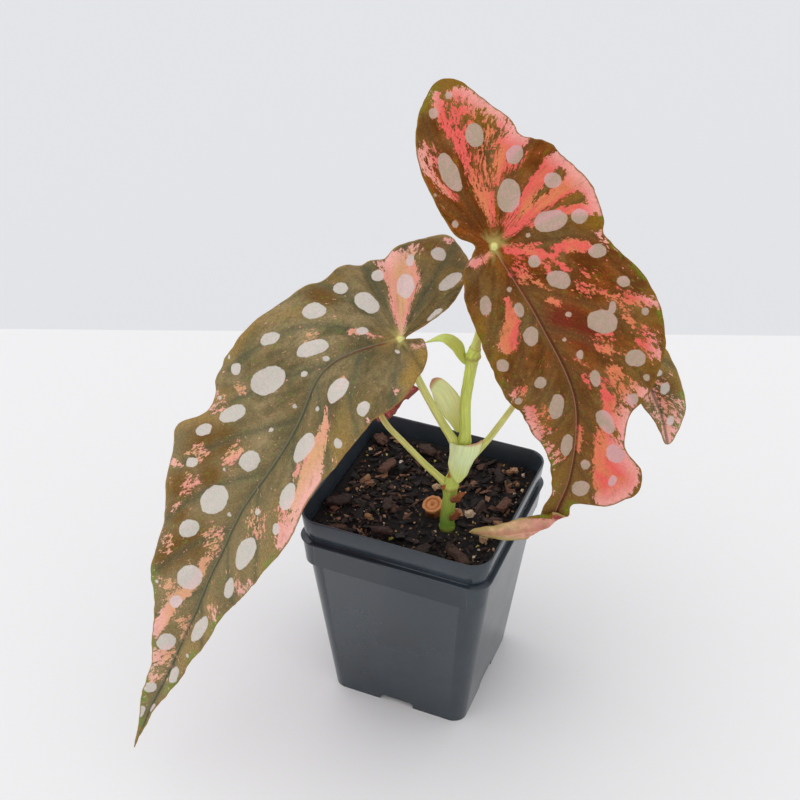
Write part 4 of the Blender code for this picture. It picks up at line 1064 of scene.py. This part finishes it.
def build_leaf(place, paints, underside, rim):
    spec = LEAVES[place]
    flat, faces, outline = flat_grid(spec, LEAF_CELL, MARGIN_NOTCH)
    values = leaf_values(flat, spec, outline)
    verts = Blade(spec).place(flat)
    lifted = LEAF_THICKNESS / 2 + leaf_relief(flat, values)
    verts = verts + surface_normals(verts, faces) * lifted[:, None]
    mats = [leaf_skin(f"waxy_leaf_{place}", LEAF_PAINTS[paints]), underside, rim]
    leaf = new_piece(f"{place}_leaf", verts, faces, mats, values)
    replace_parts(thicken(leaf, LEAF_THICKNESS, 3), "leaf_" + place)


def build_stipule(node, mat, curl, notch=0.12):
    spec = STIPULES[node]
    flat, faces, outline = flat_grid(spec, STIPULE_CELL, notch)
    verts = Blade(spec).place(flat)
    length = flat[:, 0].max()
    ripple = np.array([noise.noise(Vector((x / 4, y / 2, 8.0))) for x, y in flat])
    lines = 0.03 * np.sin(flat[:, 1] * 2 * pi / 1.3)
    edge = np.exp(-margin_of(flat, outline) / 0.8)
    lifted = STIPULE_THICKNESS / 2 + (0.3 + curl ** 2) * ripple + lines + curl * edge
    verts = verts + surface_normals(verts, faces) * lifted[:, None]
    values = {"flat": np.column_stack([flat, np.zeros(len(flat))]), "share": flat[:, 0] / length}
    piece = new_piece(node + "_sheath", verts, faces, [mat], values)
    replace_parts(thicken(piece, STIPULE_THICKNESS, 1), node)


# ---------------------------------------------------------------------------------------------
# Stems
# ---------------------------------------------------------------------------------------------


def sweep(rows, sides, shape, axis=None):
    """Rings round a path of (x, y, z, radius), closed at both ends with small domes.

    shape(along, turn, radius) gives the radius of each point of a ring. An axis, when given,
    keeps every ring square to it."""
    rows = np.array(rows)
    points, radii = rows[:, :3], rows[:, 3]
    reach = np.concatenate([[0.0], np.cumsum(np.linalg.norm(np.diff(points, axis=0), axis=1))])
    tangents = unit(np.gradient(points, axis=0))
    if axis is not None:
        tangents[:] = axis
    side = np.cross(tangents[0], (0.3, 0.9, 0.1))
    turns = np.arange(sides) * 2 * pi / sides
    verts, skin = [], []
    for point, tangent, radius, along in zip(points, tangents, radii, reach):
        side = side - tangent * (side @ tangent)
        side = side / np.linalg.norm(side)
        other = np.cross(tangent, side)
        for turn in turns:
            r = shape(along, turn, radius)
            verts.append(point + r * (cos(turn) * side + sin(turn) * other))
            skin.append((along, turn * radius, 0.0))
    count = len(points)
    faces = []
    for i in range(count - 1):
        for k in range(sides):
            m = (k + 1) % sides
            faces.append((i * sides + k, i * sides + m, (i + 1) * sides + m, (i + 1) * sides + k))
    for ring, tangent, radius, sign in ((0, tangents[0], radii[0], -1),
                                        (count - 1, tangents[-1], radii[-1], 1)):
        verts.append(points[ring] + tangent * sign * radius * 0.25)
        skin.append((reach[ring], 0.0, 0.0))
        middle = len(verts) - 1
        for k in range(sides):
            m = (k + 1) % sides
            pair = (ring * sides + k, ring * sides + m)
            faces.append((middle, pair[1], pair[0]) if sign < 0 else (middle, pair[0], pair[1]))
    return np.array(verts), faces, np.array(skin)


def stem_values(verts, skin, nodes, scars):
    ring = np.full(len(verts), 9.0)
    for height in nodes:
        ring = np.minimum(ring, np.abs(verts[:, 2] - height))
    scar = np.full(len(verts), 9.0)
    for x, y, z, radius in scars:
        scar = np.minimum(scar, np.linalg.norm(verts - (x, y, z), axis=1) - radius)
    return {"skin": skin, "ring": ring, "scar": scar}


def build_cane(mat):
    rows = even_path(CANE, STEM_STEP)
    rings = [*CANE_NODES, soil_height(*CANE[1][:2]) + SOIL_RING_RISE]

    def shape(along, turn, radius):
        ridges = 0.05 * cos(7 * turn + along / 9) + 0.03 * cos(12 * turn)
        return radius * (1 + ridges * 0.6)

    verts, faces, skin = sweep(rows, STEM_SIDES, shape)
    rough = np.array([noise.noise(Vector(v / 2.5)) for v in verts])
    centre = np.repeat(rows[:, :3], STEM_SIDES, axis=0)
    outward = unit(verts[:len(centre)] - centre)
    ring = stem_values(verts, skin, rings, SCARS)["ring"][:len(centre)]
    bulge = 0.35 * np.exp(-(ring / 1.0) ** 2) - 0.18 * np.exp(-((ring - 1.8) / 0.6) ** 2)
    verts[:len(centre)] += outward * (bulge + 0.12 * rough[:len(centre)])[:, None]
    values = stem_values(verts, skin, rings, SCARS)
    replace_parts(new_piece("cane_stem", verts, faces, [mat], values), "cane")


def build_petiole(place, mat):
    spec = PETIOLES[place]
    first, last = spec["radii"]
    joint, _, face = (rows[0] for rows in Blade(LEAVES[place]).frame(np.zeros(1)))
    first_point, second_point = np.array(spec["path"][:2])
    back = (first_point - second_point) / np.linalg.norm(first_point - second_point)
    path = [first_point + back * spec["root"], *spec["path"], joint - face * (LEAF_THICKNESS / 2 + 0.1)]
    rows = []
    for i, point in enumerate(path):
        share = i / (len(path) - 1)
        rows.append((*point, first + (last - first) * min(1.0, 2 * share)))
    rows = even_path(rows, STEM_STEP)
    length = len(rows) - 1
    foot = [(1 + 0.28 * np.exp(-i * STEM_STEP / 2.2)) for i in range(length + 1)]
    head = [(1 + 0.35 * np.exp(-(length - i) * STEM_STEP / 1.6)) for i in range(length + 1)]
    rows[:, 3] *= np.array(foot) * np.array(head)

    def shape(along, turn, radius):
        groove = 0.1 * np.exp(-((turn - pi) / 0.5) ** 2)
        return radius * (1 - groove + 0.025 * cos(9 * turn + along / 12))

    verts, faces, skin = sweep(rows, STEM_SIDES, shape)
    values = stem_values(verts, skin, [], [])
    piece = new_piece(f"{place}_petiole", verts, faces, [mat], values)
    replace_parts(piece, "petiole_" + place)


def build_stub(mat):
    """Healed end of a cut stem: a corky collar round a dished, ringed face."""
    base, top = Vector(STUB[0]), Vector(STUB[-1])
    axis = (top - Vector(STUB[1])).normalized()
    rows = [(*base, STUB_RADIUS - 0.7), (*STUB[1], STUB_RADIUS - 0.4)]
    profile = [(-1.4, 0.0), (-0.7, 0.2), (-0.1, 0.15), (0.15, -0.25), (0.05, -0.8), (-0.35, -1.3),
               (-0.45, -1.8), (-0.1, -2.3), (-0.15, -2.9), (-0.6, -3.4), (-0.9, -4.0)]
    for rise, inset in profile:
        rows.append((*(top + axis * rise), STUB_RADIUS + inset))

    def shape(along, turn, radius):
        lumps = noise.noise(Vector((cos(turn) * 2.3, sin(turn) * 2.3, along / 3)))
        return radius * (1 + 0.16 * lumps)

    verts, faces, _ = sweep(rows, STUB_SIDES, shape, axis)
    low = np.clip(-((verts - np.array(top)) @ np.array(axis)) / 5, 0, 1)
    out = np.linalg.norm(verts[:, :2] - np.array(top)[:2], axis=1)
    dark_ring = np.exp(-((out - 2.9) / 0.35) ** 2) + 0.8 * np.exp(-(out / 0.8) ** 2)
    values = {"tone": 0.75 - 0.6 * low - 0.45 * dark_ring}
    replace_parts(new_piece("callused_stub", verts, faces, [mat], values), "cutting_stub")


# ---------------------------------------------------------------------------------------------
# Pot and potting mix
# ---------------------------------------------------------------------------------------------


def rounded_square(half, radius, z, steps):
    points = []
    for quarter in range(4):
        turn = Matrix.Rotation(quarter * pi / 2, 2)
        for step in range(steps + 1):
            angle = step * pi / 2 / steps
            reach = half - radius
            corner = turn @ Vector((reach + radius * cos(angle), reach + radius * sin(angle)))
            points.append((corner.x, corner.y, z))
    return points


def inner(ring):
    half, radius, z = ring
    return half - WALL, max(radius - WALL, 2.0), z


def wall_at(z):
    """Half width and corner radius of the pot's inside at a height."""
    stations = [inner(POT_OUTSIDE[i]) for i in (0, 1, 6, 7)]
    for (h0, r0, z0), (h1, r1, z1) in zip(stations, stations[1:]):
        if z <= z1:
            t = (z - z0) / (z1 - z0)
            return h0 + (h1 - h0) * t, r0 + (r1 - r0) * t
    return stations[-1][:2]


def loft(rings):
    """Points and faces of a closed body through rings of equal count."""
    count = len(rings[0])
    verts = [p for ring in rings for p in ring]
    faces = []
    for i in range(len(rings) - 1):
        for k in range(count):
            m = (k + 1) % count
            faces.append((i * count + k, i * count + m, (i + 1) * count + m, (i + 1) * count + k))
    faces.append(tuple(reversed(range(count))))
    faces.append(tuple((len(rings) - 1) * count + k for k in range(count)))
    return verts, faces


def rounded_rings(stations, reach):
    """Stations with each corner between them replaced by two stations a small way off."""
    rows = [np.array(s, float) for s in stations]
    out = [rows[0]]
    for before, here, after in zip(rows, rows[1:], rows[2:]):
        for other in (before, after):
            span = np.linalg.norm((other - here)[[0, 2]])
            out.append(here + (other - here) * min(0.45, reach / span))
    return out + [rows[-1]]


def cutter(name, verts, faces):
    mesh = bpy.data.meshes.new(name)
    mesh.from_pydata([tuple(v) for v in world(verts)], [], faces)
    mesh.update()
    return bpy.data.objects.new(name, mesh)


def cut_away(piece, guides):
    """Subtract the guides and keep only the result."""
    for guide in guides:
        bpy.context.scene.collection.objects.link(guide)
        cut = piece.modifiers.new(guide.name, "BOOLEAN")
        cut.operation, cut.solver, cut.object = "DIFFERENCE", "EXACT", guide
    depsgraph = bpy.context.evaluated_depsgraph_get()
    result = bpy.data.meshes.new_from_object(piece.evaluated_get(depsgraph))
    piece.modifiers.clear()
    piece.data = result
    for guide in guides:
        bpy.data.objects.remove(guide, do_unlink=True)


def disc(radius, z, centre, sides):
    return [(centre[0] + radius * cos(2 * pi * k / sides),
             centre[1] + radius * sin(2 * pi * k / sides), z) for k in range(sides)]


def arch_guide(name, along_x):
    """A tunnel with round shoulders that opens the drain arches of two opposite edges."""
    reach = POT_OUTSIDE[0][0] + 3
    section = [(-ARCH_WIDTH / 2, -1.0), (ARCH_WIDTH / 2, -1.0)]
    for side, start in ((1, 0), (-1, pi / 2)):
        for step in range(7):
            angle = start + step * pi / 12
            section.append((side * (ARCH_WIDTH / 2 - ARCH_SHOULDER) + ARCH_SHOULDER * cos(angle),
                            ARCH_HEIGHT - ARCH_SHOULDER + ARCH_SHOULDER * sin(angle)))
    rings = [[(end, a, z) if along_x else (-a, end, z) for a, z in section]
             for end in (-reach, reach)]
    return cutter(name, *loft(rings))


def build_pot(mat):
    floor_ring = (*wall_at(FLOOR_TOP), FLOOR_TOP)
    stations = [*POT_OUTSIDE[:6], *POT_GROOVE, POT_OUTSIDE[7], POT_LIP,
                inner(POT_OUTSIDE[7]), inner(POT_OUTSIDE[6]), inner(POT_OUTSIDE[1]), floor_ring]
    rings = [rounded_square(*ring, POT_CORNER_STEPS)
             for ring in rounded_rings(stations, POT_EDGE_ROUND)]
    verts, faces = loft(rings)
    pot = new_piece("nursery_pot", verts, faces, [mat])
    guides = [arch_guide("arch_x", True), arch_guide("arch_y", False),
              cutter("recess", *loft([disc(RECESS_RADIUS, z, (0, 0), 64) for z in (-1, RECESS_DEPTH)]))]
    for i, (sx, sy) in enumerate([(1, 1), (-1, 1), (-1, -1), (1, -1), (0, 0)]):
        place = (sx * DRAIN_SPREAD, sy * DRAIN_SPREAD)
        guides.append(cutter(f"drain_{i}", *loft([disc(DRAIN_RADIUS, z, place, 24) for z in (2, 7)])))
    cut_away(pot, guides)
    pot.data.shade_smooth()
    pot.data.set_sharp_from_angle(angle=radians(38))
    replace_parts(pot, "pot")


def soil_height(x, y):
    """Height of the potting mix: a slight mound round the cane and broad lumps."""
    mound = 0.8 * max(0.0, 1 - hypot(x - CANE[1][0], y - CANE[1][1]) / 25)
    lumps = noise.noise(Vector((x / 14, y / 14, 3.7))) + 0.6 * noise.noise(Vector((x / 6, y / 6, 9.1)))
    return SOIL_TOP + mound + SOIL_LUMP * lumps


def fine_soil_height(x, y):
    crumbs = noise.fractal(Vector((x / 3.2, y / 3.2, 1.3)), 1.0, 2.0, 3)
    return soil_height(x, y) - 1.2 + 1.1 * crumbs


def build_soil(mat):
    """The mix as one closed body: a rough top in rings, and walls down inside the pot."""
    half, radius = wall_at(SOIL_TOP)
    half -= SOIL_INSET
    low_half, low_radius = wall_at(SOIL_TOP - SOIL_DEPTH)
    rings = [rounded_square(low_half - SOIL_INSET, low_radius, SOIL_TOP - SOIL_DEPTH, 16)]
    count = round(half / SOIL_PITCH)
    for step in range(count):
        share = 1 - (step + 0.05) / count
        ring = rounded_square(half * share, radius * share, 0.0, 16)
        rings.append([(x, y, fine_soil_height(x, y)) for x, y, _ in ring])
    verts, faces = loft(rings)
    bm = bmesh.new()
    new = [bm.verts.new(v) for v in verts]
    for face in faces:
        bm.faces.new([new[i] for i in face])
    long_edges = [e for e in bm.edges if e.calc_length() > 2.2 and min(v.co.z for v in e.verts) > 97]
    bmesh.ops.subdivide_edges(bm, edges=long_edges, cuts=3, use_grid_fill=True)
    for vert in bm.verts:
        if vert.co.z > SOIL_TOP - SOIL_DEPTH + 1:
            vert.co.z = fine_soil_height(vert.co.x, vert.co.y)
    bmesh.ops.triangulate(bm, faces=[f for f in bm.faces if len(f.verts) > 4])
    verts = [tuple(v.co) for v in bm.verts]
    faces = [[v.index for v in f.verts] for f in bm.faces]
    bm.free()
    tones = [0.25 + 0.2 * noise.noise(Vector((x / 5, y / 5, 4.0))) for x, y, _ in verts]
    soil = new_piece("bark_compost", verts, faces, [mat], {"tone": tones})
    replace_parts(soil, "potting_mix")


def rock(random, points, cuts):
    """A small angular lump: the hull of random points on a sphere, splintered by its cuts."""
    bm = bmesh.new()
    for _ in range(points):
        bm.verts.new(Vector(random.normal(size=3)).normalized())
    hull = bmesh.ops.convex_hull(bm, input=bm.verts)
    spare = {e for e in hull["geom_interior"] + hull["geom_unused"]
             if isinstance(e, bmesh.types.BMVert)}
    bmesh.ops.delete(bm, geom=list(spare), context="VERTS")
    bm.verts.index_update()
    bmesh.ops.recalc_face_normals(bm, faces=bm.faces)
    if cuts:
        bmesh.ops.subdivide_edges(bm, edges=bm.edges, cuts=cuts, use_grid_fill=True)
        for vert in bm.verts:
            vert.co *= 1 + random.uniform(-SPLINTER, SPLINTER)
        bm.verts.index_update()
    verts = np.array([v.co for v in bm.verts])
    faces = [[v.index for v in f.verts] for f in bm.faces]
    bm.free()
    return verts, faces


def scatter(name, mat, count, seed, sizes, slim, flatness, tones, points, lean,
            cuts=0):
    """Loose crumbs of one kind over the mix, as one piece. They keep clear of the stems."""
    random = np.random.default_rng(seed)
    half, _ = wall_at(SOIL_TOP)
    half -= 1.6
    stems = [(CANE[1][0], CANE[1][1], 4.2), (STUB[1][0], STUB[1][1], 4.6)]
    shapes = [rock(random, points, cuts) for _ in range(24)]
    all_verts, all_faces, all_tones = [], [], []
    made = 0
    while made < count:
        x, y = random.uniform(-half, half, 2)
        size = random.uniform(*sizes) * (0.6 + 0.8 * random.random() ** 3)
        if any(hypot(x - sx, y - sy) < r + size / 2 for sx, sy, r in stems):
            continue
        if max(abs(x), abs(y)) > half - size / 2:
            continue
        verts, faces = shapes[random.integers(len(shapes))]
        stretch = np.array([1.0, random.uniform(*slim), flatness * random.uniform(0.7, 1.3)])
        tilt = Matrix.Rotation(random.uniform(-lean, lean), 3, "X") @ Matrix.Rotation(
            random.uniform(-lean, lean) / 2, 3, "Y")
        turn = np.array(Matrix.Rotation(random.uniform(0, 2 * pi), 3, "Z") @ tilt)
        placed = (verts * stretch * size / 2) @ turn.T
        base = soil_height(x, y) - 0.9 + 0.5 * min(1.6, size * flatness)
        placed += (x, y, base)
        start = sum(len(v) for v in all_verts)
        all_verts.append(placed)
        all_faces += [[i + start for i in face] for face in faces]
        tone = tones[0] + (tones[1] - tones[0]) * random.random() ** 1.7
        all_tones += [tone] * len(verts)
        made += 1
    return new_piece(name, np.vstack(all_verts), all_faces, [mat], {"tone": all_tones},
                     smooth=False)


def build_chip(node, mat, seed, crags):
    """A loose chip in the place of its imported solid, split into finer faces and made craggy."""
    source = bpy.data.objects[node].data
    bm = bmesh.new()
    bm.from_mesh(source)
    bmesh.ops.subdivide_edges(bm, edges=bm.edges, cuts=2, use_grid_fill=True)
    low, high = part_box(node)
    size = max(h - l for l, h in zip(low, high))
    offset = Vector((seed * 3.1, seed * 1.7, 0.0))
    bm.normal_update()
    moved = []
    for vert in bm.verts:
        crag = noise.noise(vert.co / (size * 0.16) + offset)
        split = noise.cell(vert.co / (size * 0.3) + offset)
        moved.append(vert.co + vert.normal * size * crags * (crag + 0.6 * (split - 0.5) - 0.3))
    for vert, place in zip(bm.verts, moved):
        vert.co = place
    mesh = bpy.data.meshes.new(node + "_broken")
    bm.to_mesh(mesh)
    bm.free()
    mesh.materials.clear()
    mesh.materials.append(mat)
    tone = 0.3 + 0.5 * ((seed * 0.618) % 1)
    mesh.attributes.new("tone", "FLOAT", "POINT").data.foreach_set(
        "value", np.full(len(mesh.vertices), tone, np.float32))
    piece = place_piece(bpy.data.objects.new(node + "_broken", mesh))
    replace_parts(piece, node)


# ---------------------------------------------------------------------------------------------
# Stage
# ---------------------------------------------------------------------------------------------


def build_camera():
    azimuth, elevation, roll = (radians(a) for a in (CAMERA_AZIMUTH, CAMERA_ELEVATION, CAMERA_ROLL))
    back = Vector((sin(azimuth) * cos(elevation), -cos(azimuth) * cos(elevation), sin(elevation)))
    right = Vector((cos(azimuth), sin(azimuth), 0))
    up = back.cross(right)
    turned_right = right * cos(roll) + up * sin(roll)
    turned_up = up * cos(roll) - right * sin(roll)
    data = bpy.data.cameras.new("camera")
    data.lens = CAMERA_LENS
    data.clip_start, data.clip_end = 0.01, 20.0
    camera = bpy.data.objects.new("camera", data)
    bpy.context.scene.collection.objects.link(camera)
    place = Matrix((turned_right, turned_up, back)).transposed().to_4x4()
    place.translation = Vector(world(CAMERA_PLACE))
    camera.matrix_world = place
    bpy.context.scene.camera = camera


def build_table(white, grey):
    """A white table top, and beyond its far edge the pale backdrop, both lying flat."""
    azimuth = radians(CAMERA_AZIMUTH)
    ahead = Vector((-sin(azimuth), cos(azimuth), 0))
    aside = Vector((cos(azimuth), sin(azimuth), 0))
    foot = Vector((CAMERA_PLACE[0], CAMERA_PLACE[1], 0))
    edge = foot + ahead * TABLE_DEPTH
    for name, near, far, mat in (("table", edge - ahead * TABLE_REACH, edge, white),
                                 ("backdrop", edge, edge + ahead * TABLE_REACH, grey)):
        corners = [near - aside * TABLE_REACH, near + aside * TABLE_REACH,
                   far + aside * TABLE_REACH, far - aside * TABLE_REACH]
        mesh = bpy.data.meshes.new(name)
        mesh.from_pydata([tuple(v) for v in world(corners)], [], [(0, 1, 2, 3)])
        mesh.materials.append(mat)
        sheet = bpy.data.objects.new(name, mesh)
        bpy.context.scene.collection.objects.link(sheet)


def build_lights():
    """An even white tent, and a broad soft key from the upper left."""
    sky = bpy.data.worlds.new("white_tent")
    bpy.context.scene.world = sky
    sky.use_nodes = True
    background = sky.node_tree.nodes["Background"]
    background.inputs["Color"].default_value = linear("#fbfbfd")
    background.inputs["Strength"].default_value = TENT_STRENGTH
    data = bpy.data.lights.new("key", "SUN")
    data.energy, data.angle = KEY_STRENGTH, radians(KEY_SPREAD)
    lamp = bpy.data.objects.new("key", data)
    bpy.context.scene.collection.objects.link(lamp)
    lamp.rotation_euler = Vector(KEY_DIRECTION).to_track_quat("-Z", "Y").to_euler()
    bpy.context.scene.view_settings.view_transform = "Standard"


# ---------------------------------------------------------------------------------------------
# Assembly
# ---------------------------------------------------------------------------------------------


def main():
    build_camera()
    build_lights()
    build_table(matt_card("matt_white_table", "#ececec"), matt_card("pale_backdrop", "#dddee0"))

    wine = leaf_underside("wine_leaf_underside", "#a92c46", "#d4837a", "#7e5a3c", "#b98a5c")
    rosy = leaf_underside("rosy_leaf_underside", "#9c463e", "#dc9686", "#b3a05c", "#c4ab78")
    rim = leaf_rim("thin_leaf_rim", "#8f7f45")
    build_leaf("upper", "bronze", rosy, rim)
    build_leaf("drooping", "olive", wine, rim)
    build_leaf("small", "olive", wine, rim)
    build_leaf("right", "olive", wine, rim)

    cane = stem_skin("juicy_cane", "#7da33e", "#c0cf5e", "#cdd866", 112.0)
    stalk = stem_skin("juicy_leaf_stalk", "#cdd070", "#d2d27a", "#d8d686", 60.0)
    build_cane(cane)
    for place in PETIOLES:
        build_petiole(place, stalk)
    fresh = stipule_skin("fresh_stipule", "#b3ca5c", "#bfd268", "#b6ce58", 0.4)
    papery = stipule_skin("papery_stipule", "#cedb80", "#e2eaae", "#b98a60", 0.42)
    dry = stipule_skin("dry_stipule", "#6e3d1c", "#9c6436", "#dcba8e", 0.7)
    build_stipule("stipule_top", fresh, 0.0)
    build_stipule("stipule_large", papery, 0.5)
    build_stipule("stipule_collar", papery, 0.3)
    build_stipule("stipule_dry_upper", dry, 0.8, 0.7)
    build_stipule("stipule_dry_lower", dry, 0.8, 0.7)

    callus = crumb_material("corky_callus", [(0.0, "#5b3118"), (0.35, "#a8602c"), (0.7, "#d08d54"),
                                             (1.0, "#ddaa78")], 0.75, 1.2)
    build_stub(callus)
    build_pot(moulded_polypropylene())
    compost = crumb_material("bark_compost", [(0.0, "#080605"), (0.4, "#130d0b"), (0.8, "#261b15"),
                                              (1.0, "#3a2a20")], 0.95, 1.5)
    bark = crumb_material("broken_pine_bark", [(0.0, "#0d0806"), (0.3, "#1f1510"),
                                               (0.6, "#3f2a1f"), (0.85, "#6a4633"),
                                               (1.0, "#9a7254")], 0.8, 1.0)
    pumice = crumb_material("crushed_pumice", [(0.0, "#6e5138"), (0.35, "#a37c54"),
                                               (0.7, "#c7a987"), (1.0, "#e4d5c6")], 0.9, 0.6)
    husk = crumb_material("green_gold_husk", [(0.0, "#6e6a22"), (0.5, "#a39a3e"),
                                              (1.0, "#c9bd62")], 0.7, 0.8)
    build_soil(compost)
    scatter("bark_fines", bark, 1100, SEED, (1.2, 3.6), (0.4, 0.8), 0.5, (0.0, 0.5), 12, 0.9)
    scatter("bark_flakes", bark, 380, SEED + 1, (3.5, 8.5), (0.35, 0.7), 0.32, (0.05, 1.0),
            11, 0.75, 1)
    scatter("bark_slivers", bark, 110, SEED + 4, (4.0, 9.0), (0.12, 0.25), 0.16,
            (0.1, 1.0), 10, 0.6, 1)
    scatter("pumice_grit", pumice, 280, SEED + 2, (0.8, 2.8), (0.5, 0.9), 0.7, (0.0, 1.0),
            10, 0.8, 1)
    scatter("husk_bits", husk, 70, SEED + 3, (1.2, 3.0), (0.4, 0.7), 0.5, (0.0, 1.0),
            12, 0.8)
    for i in range(1, 13):
        build_chip(f"bark_chip_{i:02d}", bark, i, 0.05)
    for i in range(1, 7):
        build_chip(f"pumice_chip_{i:02d}", pumice, i + 20, 0.12)


main()
